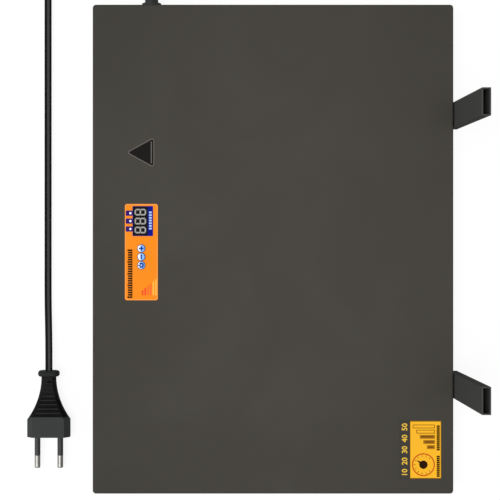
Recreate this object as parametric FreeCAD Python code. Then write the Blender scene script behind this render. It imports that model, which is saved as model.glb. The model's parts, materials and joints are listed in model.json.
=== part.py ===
import FreeCAD, Part
import math
import os

from FreeCAD import Placement, Rotation, Vector

# Flat panel heater on two turning feet, lying on its back with its lead beside it.
# Millimetres. +Z comes out of the heated front face, -X points to the heater's top edge,
# +X to its feet and +Y to the side where the lead leaves. The origin is on the surface
# that it lies on, under the middle of the heater without its lead.

# Casing
PANEL_LENGTH = 400.0
PANEL_HEIGHT = 295.0
SHEET = 1.2
REAR_SHEET = 1.0
CORNER_RADIUS = 2.8
EDGE_RADIUS = 1.4
RETURN_WIDTH = 10.0
REAR_BORDER = 2.0
REAR_CLEARANCE = 1.0

# Rear spacers, cover screws, keyholes and vents
SPACER_HEIGHT = 4.0
SPACER_RADIUS = 7.0
SPACER_INSET = 34.0
SPACER_DRAFT = 1.0
COVER_SCREW_RADIUS = 1.5
COVER_SCREW_LENGTH = 7.0
COVER_SCREW_HEAD_RADIUS = 3.1
COVER_SCREW_HEAD = 2.0
COVER_SCREW_CORNER = 26.0
COVER_SCREWS_PER_EDGE = 4
KEYHOLE_HEAD_RADIUS = 4.5
KEYHOLE_SLOT_RADIUS = 2.3
KEYHOLE_TRAVEL = 9.0
KEYHOLE_SPACING = 250.0
KEYHOLE_FROM_TOP = 34.0
VENT_COUNT = 9
VENT_LENGTH = 24.0
VENT_WIDTH = 3.0
VENT_CORNER = 1.3
VENT_PITCH = 9.0
VENT_FROM_TOP = 18.0

# Label, display, indicators and buttons, measured from the label's own corner
LABEL_LENGTH = 78.7
LABEL_HEIGHT = 26.95
LABEL_THICKNESS = 0.4
LABEL_CORNER = 1.8
LABEL_FROM_TOP = 26.4
LABEL_OFFSET = -2.4
DISPLAY_LENGTH = 23.4
DISPLAY_HEIGHT = 11.8
DISPLAY_ALONG = 64.7
DISPLAY_DOWN = 12.7
DISPLAY_BORDER = 0.6
DISPLAY_BODY_DEPTH = 6.1
LENS_CLEARANCE = 0.15
INDICATOR_COUNT = 3
INDICATOR_PITCH = 6.45
INDICATOR_RADIUS = 0.95
INDICATOR_BASE_RADIUS = 1.5
INDICATOR_BASE = 3.4
BUTTON_NAMES = ("power", "minus", "plus")
BUTTON_PITCH = 6.9
BUTTON_FIRST_ALONG = 28.6
BUTTON_DOWN = 13.4
BUTTON_RADIUS = 2.95
BUTTON_PROUD = 0.7
BUTTON_TRAVEL = 0.4
BUTTON_CAP = 2.1
BUTTON_CROWN = 0.35
STEM_RADIUS = 1.5
BUTTON_CLEARANCE = 0.2
STEM_CLEARANCE = 0.1

# Badge and notice plate on the front
BADGE_SIDE = 26.2
BADGE_HEIGHT = 23.8
BADGE_CORNER = 2.0
BADGE_FROM_TOP = 26.9
BADGE_ALONG = 79.0
PLATE_THICKNESS = 0.3
NOTICE_LENGTH = 47.15
NOTICE_HEIGHT = 33.8
NOTICE_FROM_BOTTOM = 10.1
NOTICE_FROM_SIDE = 12.55
NOTICE_CORNER = 0.6

# Control board and what it carries
BOARD_LENGTH = 104.0
BOARD_HEIGHT = 42.0
BOARD = 1.6
BOARD_EDGE_GAP = 1.8
BOARD_HOLE_INSET = 4.0
STANDOFF_RADIUS = 2.8
BOARD_SCREW_RADIUS = 1.5
BOARD_SCREW_LENGTH = 5.0
BOARD_SCREW_HEAD_RADIUS = 2.7
BOARD_SCREW_HEAD = 1.8
SWITCH_SIDE = 6.0
SWITCH_DEPTH = 3.5
SWITCH_FLOOR = 1.3
RELAY_WIDTH = 20.0
RELAY_LENGTH = 10.0
RELAY_DEPTH = 9.6
SUPPLY_WIDTH = 20.0
SUPPLY_LENGTH = 26.0
SUPPLY_DEPTH = 9.0
CAPACITOR_RADIUS = 4.0
CAPACITOR_LENGTH = 9.0
TERMINAL_WIDTH = 20.0
TERMINAL_LENGTH = 11.0
TERMINAL_DEPTH = 9.4
TERMINAL_POLES = 4
PROBE_HEADER_WIDTH = 5.0
PROBE_HEADER_LENGTH = 6.0
PROBE_HEADER_DEPTH = 4.6
COMPONENT_SPACING = 8.0
COMPONENT_CLEARANCE = 0.2

# Heater stack
ELEMENT = 1.5
INSULATION = 10.0
BARRIER_GAP = 4.0
BARRIER_SHEET = 0.8
BARRIER_FLANGE = 7.0
BARRIER_END_GAP = 1.0
BARRIER_NOTCH = 24.0
ELEMENT_GAP = 1.5
ELEMENT_SIDE_GAP = 10.0
INSULATION_INSET = 12.0
BUSBAR_WIDTH = 8.0
BUSBAR = 0.3
BUSBAR_INSET = 1.0
BAR_COUNT = 3
BAR_PITCH = 125.0
BAR = 1.5
BAR_WIDTH = 14.0
BAR_HOLE_INSET = 8.0
STUD_RADIUS = 2.0
STUD_TIP = 0.8
STUD_CLEARANCE = 0.3
STUD_NUT_FLATS = 7.0
STUD_NUT = 3.2
THREAD_CLEARANCE = 0.05
CUTOUT_RADIUS = 8.0
CUTOUT_DEPTH = 9.5
CUTOUT_ALONG = 90.0
CUTOUT_DOWN = 26.0
CUTOUT_TAB_WIDTH = 1.0
CUTOUT_TAB_LENGTH = 5.0
CUTOUT_TAB_DEPTH = 5.5
PROBE_RADIUS = 2.4
PROBE_LENGTH = 22.0
PROBE_ALONG = -32.0
PROBE_DOWN = 30.0
POCKET_CLEARANCE = 0.6

# Inner wires
CORE_RADIUS = 1.1
LEAD_RADIUS = 1.0
PROBE_LEAD_RADIUS = 0.8
WIRE_GAP = 0.3
CORE_STRAIGHT = 40.0
LEAD_STRAIGHT = 14.0
LEAD_SWEEP = 30.0

# Feet
FOOT_SPACING = 222.6
FOOT_OFFSET = -0.9
FOOT_WIDTH = 21.0
FOOT_HEIGHT = 7.0
FOOT_SHEET = 1.0
FOOT_BEND = 0.5
FOOT_REACH = 83.8
FOOT_BACK_GAP = 0.4
FOOT_WASHER = 1.0
FOOT_WASHER_RADIUS = 7.0
PIVOT_RADIUS = 2.5
PIVOT_CLEARANCE = 0.08
PIVOT_HEAD_RADIUS = 4.6
PIVOT_HEAD = 3.0
ACCESS_CLEARANCE = 0.8
PIVOT_END = 1.0
RUNNING_GAP = 0.05
FOOT_NUT_FLATS = 8.0
FOOT_NUT = 4.0

# Lead, its bush, its coil and its plug
CORD_RADIUS = 3.0
CORD_GAP = 0.6
GLAND_HOLE_RADIUS = 6.0
GLAND_FLANGE_RADIUS = 8.0
GLAND_FLANGE = 2.5
GLAND_INNER_RADIUS = 7.4
GLAND_INNER = 3.0
GLAND_TAIL = 28.0
GLAND_TAIL_RADIUS = 5.6
GLAND_TIP_RADIUS = 4.2
GLAND_RIBS = 6
GLAND_RIB_DEPTH = 0.7
GLAND_GROOVE = 1.3
GLAND_SIDE_GAP = 2.0
CORD_INSIDE = 12.0
COIL_TURNS_IN = 3
COIL_TURNS_OUT = 3
COIL_RADIUS = 43.55
COIL_FROM_SIDE = 100.0
TIE_WIDTH = 12.0
TIE = 0.9
TIE_CLEARANCE = 0.4
TAIL_LEAVES = 51.0
TAIL_LANDS = 74.0
RUN_LEAVES = 72.0
RUN_LANDS = 46.0
RUN_LIFTS = 56.0
RUN_MEETS = 26.0
PLUG_END_Y = -101.2
PLUG_ASIDE = 1.2
PLUG_WIDTH = 35.6
PLUG_THICKNESS = 14.0
PLUG_BLOCK = 14.6
PLUG_TAPER = 35.6
PLUG_NECK_WIDTH = 11.8
PLUG_NECK_THICKNESS = 10.0
PLUG_BEVEL = 4.6
PLUG_NECK_BEVEL = 2.6
PLUG_COLLAR = 4.9
PLUG_COLLAR_WIDTH = 17.8
PLUG_COLLAR_THICKNESS = 13.0
PLUG_COLLAR_CORNER = 5.8
PLUG_COLLAR_EDGE = 1.9
PLUG_RIBS = 6
PLUG_RIB_SETBACK = 2.2
PLUG_RIB_PITCH = 3.5
PLUG_RIB_WIDTH = 2.6
PLUG_RIB_DEPTH = 0.7
GRIP_SLOT_LENGTH = 5.6
GRIP_SLOT_WIDTH = 1.8
GRIP_SLOT_DEPTH = 2.2
GRIP_SLOT_SETBACK = 4.2
PIN_RADIUS = 2.4
PIN_LENGTH = 26.0
PIN_SPACING = 19.0
PIN_SLEEVE = 15.6
PIN_TIP = 0.9
PIN_CORE_RADIUS = 1.9
PIN_ROOT = 8.0

# Cross recess of a screw's head, as shares of the head's radius
RECESS_ARM = 1.1
RECESS_WIDTH = 0.24

# How far a cutter passes the face that it opens, and how close counts as level
THROUGH = 1.0
LEVEL = 1e-6

# Levels, from the surface that the heater lies on up to its front face
HEATER_STACK = ELEMENT + INSULATION + BAR + STUD_NUT + STUD_TIP
BOARD_GAP = DISPLAY_BODY_DEPTH + COMPONENT_CLEARANCE
TALLEST = max(RELAY_DEPTH, SUPPLY_DEPTH, CAPACITOR_LENGTH, TERMINAL_DEPTH)
CONTROL_STACK = BOARD_GAP + BOARD + TALLEST
BACK_Z = SPACER_HEIGHT
RETURN_Z = BACK_Z + REAR_SHEET
INNER_BACK_Z = RETURN_Z + SHEET
INNER_FRONT_Z = INNER_BACK_Z + max(HEATER_STACK, CONTROL_STACK) + REAR_CLEARANCE
FRONT_Z = INNER_FRONT_Z + SHEET
LABEL_Z = FRONT_Z + LABEL_THICKNESS
FACE_DEPTH = SHEET + LABEL_THICKNESS
BOARD_FRONT_Z = INNER_FRONT_Z - BOARD_GAP
BOARD_BACK_Z = BOARD_FRONT_Z - BOARD
ELEMENT_Z = INNER_FRONT_Z - ELEMENT
INSULATION_Z = ELEMENT_Z - INSULATION
BAR_Z = INSULATION_Z - BAR
WIRE_LEVEL = BAR_Z - WIRE_GAP - LEAD_RADIUS
PIVOT_Z = (BACK_Z + FRONT_Z) / 2
GLAND_LEVEL = (INNER_BACK_Z + INNER_FRONT_Z) / 2

# Places along the heater's height (X) and length (Y)
TOP_X = -(PANEL_HEIGHT + FOOT_WASHER + FOOT_HEIGHT) / 2
BOTTOM_X = TOP_X + PANEL_HEIGHT
SOLE_X = BOTTOM_X + FOOT_WASHER + FOOT_HEIGHT
SIDE_Y = PANEL_LENGTH / 2
LABEL_X = TOP_X + LABEL_FROM_TOP
LABEL_Y = LABEL_OFFSET - LABEL_LENGTH / 2
BARRIER_X = LABEL_X + LABEL_HEIGHT + BARRIER_GAP
BOARD_X = BARRIER_X - BOARD_EDGE_GAP - BOARD_HEIGHT / 2
DISPLAY_X = LABEL_X + DISPLAY_DOWN
DISPLAY_Y = LABEL_Y + DISPLAY_ALONG
BUTTON_X = LABEL_X + BUTTON_DOWN
DISPLAY_TOP_X = DISPLAY_X - DISPLAY_HEIGHT / 2 - DISPLAY_BORDER
INDICATOR_X = DISPLAY_TOP_X - COMPONENT_CLEARANCE - INDICATOR_BASE_RADIUS
ELEMENT_X0 = BARRIER_X + BARRIER_FLANGE + ELEMENT_GAP
ELEMENT_X1 = BOTTOM_X - SHEET - FOOT_NUT - PIVOT_END - ELEMENT_GAP
ELEMENT_Y = SIDE_Y - SHEET - ELEMENT_SIDE_GAP
INSULATION_Y = ELEMENT_Y - INSULATION_INSET
CAPACITOR_Y = LABEL_OFFSET + COMPONENT_SPACING
RELAY_Y = CAPACITOR_Y - CAPACITOR_RADIUS - COMPONENT_SPACING - RELAY_LENGTH / 2
SUPPLY_Y = RELAY_Y - (RELAY_LENGTH + SUPPLY_LENGTH) / 2 - COMPONENT_SPACING / 2
TERMINAL_Y = CAPACITOR_Y + CAPACITOR_RADIUS + COMPONENT_SPACING + TERMINAL_LENGTH / 2
STUD_XS = (ELEMENT_X0 + BAR_HOLE_INSET, ELEMENT_X1 - BAR_HOLE_INSET)
STUD_YS = [BAR_PITCH * (i - (BAR_COUNT - 1) / 2) for i in range(BAR_COUNT)]
CUTOUT_X = ELEMENT_X0 + CUTOUT_DOWN
PROBE_X = ELEMENT_X0 + PROBE_DOWN
PROBE_Z = ELEMENT_Z - PROBE_RADIUS - COMPONENT_CLEARANCE
BUSBAR_Y = ELEMENT_Y - BUSBAR_WIDTH / 2 - BUSBAR_INSET
GLAND_X = BARRIER_X - GLAND_SIDE_GAP - GLAND_INNER_RADIUS
COIL_X = GLAND_X - COIL_RADIUS
COIL_Y = SIDE_Y + COIL_FROM_SIDE
RUN_X = COIL_X - COIL_RADIUS
PLUG_NECK_Y = PLUG_END_Y - PLUG_COLLAR
PLUG_SHOULDER_Y = PLUG_NECK_Y - PLUG_TAPER
PLUG_FACE_Y = PLUG_SHOULDER_Y - PLUG_BLOCK
PLUG_X = RUN_X + PLUG_ASIDE
PLUG_Z = PLUG_THICKNESS / 2
CUTOUT_TAB_REACH = (CUTOUT_TAB_LENGTH + CUTOUT_RADIUS) / 2
CUTOUT_LEAD_Y = CUTOUT_ALONG - CUTOUT_TAB_REACH - 1.5 * LEAD_STRAIGHT
FOOT_YS = {"left": FOOT_OFFSET - FOOT_SPACING / 2, "right": FOOT_OFFSET + FOOT_SPACING / 2}
X_AXIS = Vector(1, 0, 0)
Y_AXIS = Vector(0, 1, 0)
Z_AXIS = Vector(0, 0, 1)


# Shape helpers
def box(x0, x1, y0, y1, z0, z1):
    """A block between two corners."""
    return Part.makeBox(x1 - x0, y1 - y0, z1 - z0, Vector(x0, y0, z0))


def block(middle_x, middle_y, z0, size):
    """A block that stands on z0 around a middle, with its size along X, Y and Z."""
    return box(
        middle_x - size[0] / 2, middle_x + size[0] / 2,
        middle_y - size[1] / 2, middle_y + size[1] / 2,
        z0, z0 + size[2],
    )


def rod(x, y, z, radius, length, axis=Z_AXIS):
    """A cylinder from a point along an axis."""
    return Part.makeCylinder(radius, length, Vector(x, y, z), axis)


def hole(x, y, z, radius, length, axis=Z_AXIS):
    """A round cutter for a wall of some length from a point, passing both of its faces."""
    start = Vector(x, y, z) - axis * THROUGH
    return Part.makeCylinder(radius, length + 2 * THROUGH, start, axis)


def edges_along(solid, axis):
    """The straight edges of a solid that run along an axis."""
    straight = [e for e in solid.Edges if isinstance(e.Curve, Part.Line)]
    return [e for e in straight if abs(e.Curve.Direction.dot(axis)) > 1 - LEVEL]


def plate(x0, x1, y0, y1, z0, z1, corner):
    """A block with its upright edges rounded."""
    solid = box(x0, x1, y0, y1, z0, z1)
    return solid.makeFillet(corner, edges_along(solid, Z_AXIS))


def hex_nut(x, y, z, flats, height, bore, axis=Z_AXIS):
    """A hexagon nut that stands on a point along an axis."""
    reach = flats / math.sqrt(3)
    turns = [math.radians(60 * i) for i in range(7)]
    outline = [Vector(reach * math.cos(t), reach * math.sin(t), 0) for t in turns]
    nut = Part.Face(Part.makePolygon(outline)).extrude(Vector(0, 0, height))
    nut = nut.cut(hole(0, 0, 0, bore, height))
    nut.Placement = Placement(Vector(x, y, z), Rotation(Z_AXIS, axis))
    return nut


def pan_screw(x, y, z, radius, length, head_radius, head, axis):
    """A pan-head screw whose head bears on a point, with its shank along an axis."""
    shank = rod(0, 0, 0, radius, length)
    cap = rod(0, 0, -head, head_radius, head)
    rim = [e for e in cap.Edges if abs(e.BoundBox.ZMax + head) < LEVEL]
    screw = cap.makeFillet(head / 3, rim).fuse(shank)
    arm = head_radius * RECESS_ARM
    width = head_radius * RECESS_WIDTH
    for size in ((arm, width, head / 2), (width, arm, head / 2)):
        screw = screw.cut(block(0, 0, -head, size))
    screw.Placement = Placement(Vector(x, y, z), Rotation(Z_AXIS, axis))
    return screw


def arc_edge(start, tangent, end):
    """An arc that leaves a start along a tangent and ends at a point."""
    chord = end - start
    along = Vector(chord).normalize()
    side = tangent - along * tangent.dot(along)
    if side.Length < 1e-7:
        return Part.LineSegment(start, end).toShape()
    half_turn = math.acos(max(-1.0, min(1.0, tangent.dot(along))))
    rise = chord.Length / 2 * math.tan(half_turn / 2)
    middle = start + chord * 0.5 + side.normalize() * rise
    return Part.Arc(start, middle, end).toShape()


def rounded_route(points):
    """Straight runs joined by tangent arcs, each as large as its two runs allow."""
    edges, radii, last = [], [], points[0]
    for before, corner, after in zip(points, points[1:], points[2:]):
        into, out = corner - before, after - corner
        half_turn = into.getAngle(out) / 2
        trim = 0.45 * min(into.Length, out.Length)
        start = corner - Vector(into).normalize() * trim
        end = corner + Vector(out).normalize() * trim
        edges.append(Part.LineSegment(last, start).toShape())
        edges.append(arc_edge(start, Vector(into).normalize(), end))
        radii.append(trim / math.tan(half_turn))
        last = end
    edges.append(Part.LineSegment(last, points[-1]).toShape())
    return edges, radii


def sweep(edges, radius):
    """A solid tube of one radius along a tangent chain of edges."""
    spine = Part.Wire(edges)
    first = edges[0]
    start = first.valueAt(first.FirstParameter)
    heading = first.tangentAt(first.FirstParameter)
    section = Part.Wire([Part.makeCircle(radius, start, heading)])
    return Part.Solid(spine.makePipeShell([section], True, False))


def tube(points, radius):
    """A solid tube along a rounded route."""
    edges, _ = rounded_route([Vector(*p) for p in points])
    return sweep(edges, radius)


# Casing
def cover_screw_places():
    """The screws' places on the rear cover, in the middle of the casing's returns."""
    inset = SHEET + RETURN_WIDTH / 2
    reach = SIDE_Y - COVER_SCREW_CORNER
    step = 2 * reach / (COVER_SCREWS_PER_EDGE - 1)
    places = []
    for x in (TOP_X + inset, BOTTOM_X - inset):
        places += [(x, -reach + step * i) for i in range(COVER_SCREWS_PER_EDGE)]
    middle = (TOP_X + BOTTOM_X) / 2
    return places + [(middle, SIDE_Y - inset), (middle, inset - SIDE_Y)]


def display_window(clearance):
    """The opening for the lens, as a block through the front."""
    return block(
        DISPLAY_X, DISPLAY_Y, INNER_FRONT_Z - THROUGH,
        (DISPLAY_HEIGHT + 2 * clearance, DISPLAY_LENGTH + 2 * clearance, FACE_DEPTH + 2 * THROUGH),
    )


def button_y(index):
    """A button's place along the label."""
    return LABEL_Y + BUTTON_FIRST_ALONG + BUTTON_PITCH * index


def indicator_ys():
    """The indicators' places along the label, centred over the display."""
    middle = (INDICATOR_COUNT - 1) / 2
    return [DISPLAY_Y + INDICATOR_PITCH * (i - middle) for i in range(INDICATOR_COUNT)]


def control_holes():
    """Everything that passes through the front face and the label: lens, buttons, indicators."""
    button = BUTTON_RADIUS + BUTTON_CLEARANCE
    lamp = INDICATOR_RADIUS + BUTTON_CLEARANCE
    holes = [display_window(LENS_CLEARANCE)]
    for index in range(len(BUTTON_NAMES)):
        holes.append(hole(BUTTON_X, button_y(index), INNER_FRONT_Z, button, FACE_DEPTH))
    for y in indicator_ys():
        holes.append(hole(INDICATOR_X, y, INNER_FRONT_Z, lamp, FACE_DEPTH))
    return holes


def front_cover():
    """The folded front tray, with returns that the rear cover screws to."""
    outer = plate(TOP_X, BOTTOM_X, -SIDE_Y, SIDE_Y, RETURN_Z, FRONT_Z, CORNER_RADIUS)
    rim = [e for e in outer.Edges if e.BoundBox.ZMin > FRONT_Z - LEVEL]
    outer = outer.makeFillet(EDGE_RADIUS, rim)
    cavity = plate(
        TOP_X + SHEET, BOTTOM_X - SHEET, SHEET - SIDE_Y, SIDE_Y - SHEET,
        INNER_BACK_Z, INNER_FRONT_Z, CORNER_RADIUS - SHEET,
    )
    lip = SHEET + RETURN_WIDTH
    mouth = box(
        TOP_X + lip, BOTTOM_X - lip, lip - SIDE_Y, SIDE_Y - lip,
        RETURN_Z - THROUGH, INNER_BACK_Z + THROUGH,
    )
    cutters = [cavity, mouth, *control_holes()]
    for x, y in cover_screw_places():
        cutters.append(hole(x, y, RETURN_Z, COVER_SCREW_RADIUS + THREAD_CLEARANCE, SHEET))
    for y in FOOT_YS.values():
        pivot = PIVOT_RADIUS + PIVOT_CLEARANCE
        cutters.append(hole(BOTTOM_X - SHEET, y, PIVOT_Z, pivot, SHEET, X_AXIS))
    cutters.append(hole(GLAND_X, SIDE_Y - SHEET, GLAND_LEVEL, GLAND_HOLE_RADIUS, SHEET, Y_AXIS))
    return outer.cut(cutters)


def keyhole(y):
    """A keyhole for a wall screw: a head hole with a slot towards the heater's top edge."""
    x = TOP_X + KEYHOLE_FROM_TOP
    head = hole(x, y, BACK_Z, KEYHOLE_HEAD_RADIUS, REAR_SHEET)
    end = hole(x - KEYHOLE_TRAVEL, y, BACK_Z, KEYHOLE_SLOT_RADIUS, REAR_SHEET)
    slot = box(
        x - KEYHOLE_TRAVEL, x, y - KEYHOLE_SLOT_RADIUS, y + KEYHOLE_SLOT_RADIUS,
        BACK_Z - THROUGH, RETURN_Z + THROUGH,
    )
    return head.fuse([end, slot])


def rear_cover():
    """The flat rear plate, with keyholes, vents for the control bay and screw holes."""
    cover = plate(
        TOP_X + REAR_BORDER, BOTTOM_X - REAR_BORDER, REAR_BORDER - SIDE_Y, SIDE_Y - REAR_BORDER,
        BACK_Z, RETURN_Z, CORNER_RADIUS,
    )
    cutters = [keyhole(side * KEYHOLE_SPACING / 2) for side in (-1, 1)]
    vent_x = TOP_X + VENT_FROM_TOP
    for i in range(VENT_COUNT):
        y = LABEL_OFFSET + VENT_PITCH * (i - (VENT_COUNT - 1) / 2)
        cutters.append(
            plate(
                vent_x, vent_x + VENT_LENGTH, y - VENT_WIDTH / 2, y + VENT_WIDTH / 2,
                BACK_Z - THROUGH, RETURN_Z + THROUGH, VENT_CORNER,
            )
        )
    for x, y in cover_screw_places():
        cutters.append(hole(x, y, BACK_Z, COVER_SCREW_RADIUS + STUD_CLEARANCE, REAR_SHEET))
    return cover.cut(cutters)


def cover_screws():
    """The self-tapping screws that hold the rear cover."""
    return Part.Compound([
        pan_screw(
            x, y, BACK_Z, COVER_SCREW_RADIUS, COVER_SCREW_LENGTH,
            COVER_SCREW_HEAD_RADIUS, COVER_SCREW_HEAD, Z_AXIS,
        )
        for x, y in cover_screw_places()
    ])


def wall_spacers():
    """Four rubber buttons that hold the back off a wall, or off what it lies on."""
    spacers = []
    for x in (TOP_X + SPACER_INSET, BOTTOM_X - SPACER_INSET):
        for y in (SPACER_INSET - SIDE_Y, SIDE_Y - SPACER_INSET):
            spacers.append(
                Part.makeCone(
                    SPACER_RADIUS - SPACER_DRAFT, SPACER_RADIUS, SPACER_HEIGHT, Vector(x, y, 0)
                )
            )
    return Part.Compound(spacers)


# Label, badge and notice plate
def control_label():
    """The thin orange label, open at the lens, the buttons and the indicators."""
    label = plate(
        LABEL_X, LABEL_X + LABEL_HEIGHT, LABEL_Y, LABEL_Y + LABEL_LENGTH,
        FRONT_Z, LABEL_Z, LABEL_CORNER,
    )
    return label.cut(control_holes())


def display_lens():
    """The smoked window over the digits, flush with the label."""
    return block(
        DISPLAY_X, DISPLAY_Y, INNER_FRONT_Z,
        (DISPLAY_HEIGHT, DISPLAY_LENGTH, LABEL_Z - INNER_FRONT_Z),
    )


def badge():
    """The bare triangular badge, with its point towards the heater's top edge."""
    x = TOP_X + BADGE_FROM_TOP
    corners = [
        Vector(x, BADGE_ALONG, FRONT_Z),
        Vector(x + BADGE_HEIGHT, BADGE_ALONG - BADGE_SIDE / 2, FRONT_Z),
        Vector(x + BADGE_HEIGHT, BADGE_ALONG + BADGE_SIDE / 2, FRONT_Z),
    ]
    solid = Part.Face(Part.makePolygon(corners + corners[:1])).extrude(Z_AXIS * PLATE_THICKNESS)
    return solid.makeFillet(BADGE_CORNER, edges_along(solid, Z_AXIS))


def notice_plate():
    """The bare plate in the front's lower corner."""
    x1 = BOTTOM_X - NOTICE_FROM_BOTTOM
    y0 = NOTICE_FROM_SIDE - SIDE_Y
    return plate(
        x1 - NOTICE_HEIGHT, x1, y0, y0 + NOTICE_LENGTH,
        FRONT_Z, FRONT_Z + PLATE_THICKNESS, NOTICE_CORNER,
    )


# Control board
def board_hole_places():
    """The four fixing holes of the control board."""
    along = BOARD_LENGTH / 2 - BOARD_HOLE_INSET
    down = BOARD_HEIGHT / 2 - BOARD_HOLE_INSET
    return [
        (BOARD_X + sx * down, LABEL_OFFSET + sy * along) for sx in (-1, 1) for sy in (-1, 1)
    ]


def control_board():
    """The bare circuit board."""
    board = block(BOARD_X, LABEL_OFFSET, BOARD_BACK_Z, (BOARD_HEIGHT, BOARD_LENGTH, BOARD))
    radius = BOARD_SCREW_RADIUS + STUD_CLEARANCE
    return board.cut([hole(x, y, BOARD_BACK_Z, radius, BOARD) for x, y in board_hole_places()])


def board_standoffs():
    """The threaded posts behind the front face that carry the board."""
    posts = []
    for x, y in board_hole_places():
        post = rod(x, y, BOARD_FRONT_Z, STANDOFF_RADIUS, BOARD_GAP)
        thread = BOARD_SCREW_RADIUS + THREAD_CLEARANCE
        posts.append(post.cut(rod(x, y, BOARD_FRONT_Z, thread, BOARD_SCREW_LENGTH)))
    return Part.Compound(posts)


def board_screws():
    """The screws that hold the board to its posts."""
    return Part.Compound([
        pan_screw(
            x, y, BOARD_BACK_Z, BOARD_SCREW_RADIUS, BOARD_SCREW_LENGTH,
            BOARD_SCREW_HEAD_RADIUS, BOARD_SCREW_HEAD, Z_AXIS,
        )
        for x, y in board_hole_places()
    ])


def display_module():
    """The three-digit display's body on the board."""
    return block(
        DISPLAY_X, DISPLAY_Y, BOARD_FRONT_Z,
        (DISPLAY_HEIGHT + 2 * DISPLAY_BORDER, DISPLAY_LENGTH + 2 * DISPLAY_BORDER, DISPLAY_BODY_DEPTH),
    )


def indicator_lights():
    """The indicator lamps, from the board up to the label's face."""
    lamps = []
    for y in indicator_ys():
        base = rod(INDICATOR_X, y, BOARD_FRONT_Z, INDICATOR_BASE_RADIUS, INDICATOR_BASE)
        pipe = rod(INDICATOR_X, y, BOARD_FRONT_Z, INDICATOR_RADIUS, LABEL_Z - BOARD_FRONT_Z)
        lamps.append(base.fuse(pipe))
    return Part.Compound(lamps)


def push_switches():
    """The switches on the board, each with a bore that guides its button's stem."""
    top = BOARD_FRONT_Z + SWITCH_DEPTH
    switches = []
    for index in range(len(BUTTON_NAMES)):
        y = button_y(index)
        body = block(BUTTON_X, y, BOARD_FRONT_Z, (SWITCH_SIDE, SWITCH_SIDE, SWITCH_DEPTH))
        floor = BOARD_FRONT_Z + SWITCH_FLOOR
        bore = rod(BUTTON_X, y, floor, STEM_RADIUS + STEM_CLEARANCE, top - floor)
        switches.append(body.cut(bore))
    return Part.Compound(switches)


def push_button(index):
    """A button: a crowned cap that stands proud of the label, on a stem in its switch."""
    y = button_y(index)
    top = LABEL_Z + BUTTON_PROUD
    cap = rod(BUTTON_X, y, top - BUTTON_CAP, BUTTON_RADIUS, BUTTON_CAP)
    rim = [e for e in cap.Edges if e.BoundBox.ZMin > top - LEVEL]
    cap = cap.makeFillet(BUTTON_CROWN, rim)
    foot = BOARD_FRONT_Z + SWITCH_FLOOR + BUTTON_TRAVEL + COMPONENT_CLEARANCE
    stem = rod(BUTTON_X, y, foot, STEM_RADIUS, top - BUTTON_CAP / 2 - foot)
    return cap.fuse(stem)


def on_board_back(y, width, length, depth):
    """A component's block on the back of the board."""
    return block(BOARD_X, y, BOARD_BACK_Z - depth, (width, length, depth))


def filter_capacitor():
    """The supply's capacitor, standing on the back of the board."""
    return rod(
        BOARD_X, CAPACITOR_Y, BOARD_BACK_Z - CAPACITOR_LENGTH, CAPACITOR_RADIUS, CAPACITOR_LENGTH
    )


def terminal_pole_xs():
    """The wire entries' places across the terminal block."""
    pitch = TERMINAL_WIDTH / TERMINAL_POLES
    return [BOARD_X + pitch * (i - (TERMINAL_POLES - 1) / 2) for i in range(TERMINAL_POLES)]


def terminal_y(side):
    """The face of the terminal block that wires enter, on either side."""
    return TERMINAL_Y + side * TERMINAL_LENGTH / 2


def probe_header():
    """The plug socket on the board for the temperature probe's lead."""
    x = BOARD_X + BOARD_HEIGHT / 2 - PROBE_HEADER_WIDTH / 2
    size = (PROBE_HEADER_WIDTH, PROBE_HEADER_LENGTH, PROBE_HEADER_DEPTH)
    return block(x, PROBE_ALONG, BOARD_FRONT_Z, size)


# Heater stack
def heat_barrier():
    """The sheet wall between the control bay and the heater, notched for the wires."""
    end_y = SIDE_Y - SHEET - BARRIER_END_GAP
    wall = box(
        BARRIER_X, BARRIER_X + BARRIER_SHEET, -end_y, end_y,
        INNER_BACK_Z + REAR_CLEARANCE / 2, INNER_FRONT_Z,
    )
    flange = box(
        BARRIER_X, BARRIER_X + BARRIER_FLANGE, -end_y, end_y,
        INNER_FRONT_Z - BARRIER_SHEET, INNER_FRONT_Z,
    )
    notch_top = WIRE_LEVEL + 3 * LEAD_RADIUS
    cutters = []
    for y in (BUSBAR_Y, -BUSBAR_Y, CUTOUT_LEAD_Y):
        half = min(BARRIER_NOTCH / 2, end_y - abs(y))
        cutters.append(
            box(
                BARRIER_X - THROUGH, BARRIER_X + BARRIER_SHEET + THROUGH, y - half, y + half,
                INNER_BACK_Z, notch_top,
            )
        )
    lead = PROBE_LEAD_RADIUS + POCKET_CLEARANCE
    cutters.append(hole(BARRIER_X, PROBE_ALONG, PROBE_Z, lead, BARRIER_SHEET, X_AXIS))
    return wall.fuse(flange).cut(cutters).removeSplitter()


def stud_holes(z, depth):
    """Clearance holes for the studs through a layer of the stack."""
    radius = STUD_RADIUS + STUD_CLEARANCE
    return [hole(x, y, z, radius, depth) for x in STUD_XS for y in STUD_YS]


def heating_element():
    """The carbon heating sheet on its board, bonded behind the front face."""
    sheet = box(ELEMENT_X0, ELEMENT_X1, -ELEMENT_Y, ELEMENT_Y, ELEMENT_Z, INNER_FRONT_Z)
    return sheet.cut(stud_holes(ELEMENT_Z, ELEMENT))


def busbars():
    """The two copper strips that feed the sheet at its ends."""
    return Part.Compound([
        box(
            ELEMENT_X0 + BUSBAR_INSET, ELEMENT_X1 - BUSBAR_INSET,
            side * BUSBAR_Y - BUSBAR_WIDTH / 2, side * BUSBAR_Y + BUSBAR_WIDTH / 2,
            ELEMENT_Z - BUSBAR, ELEMENT_Z,
        )
        for side in (-1, 1)
    ])


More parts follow.
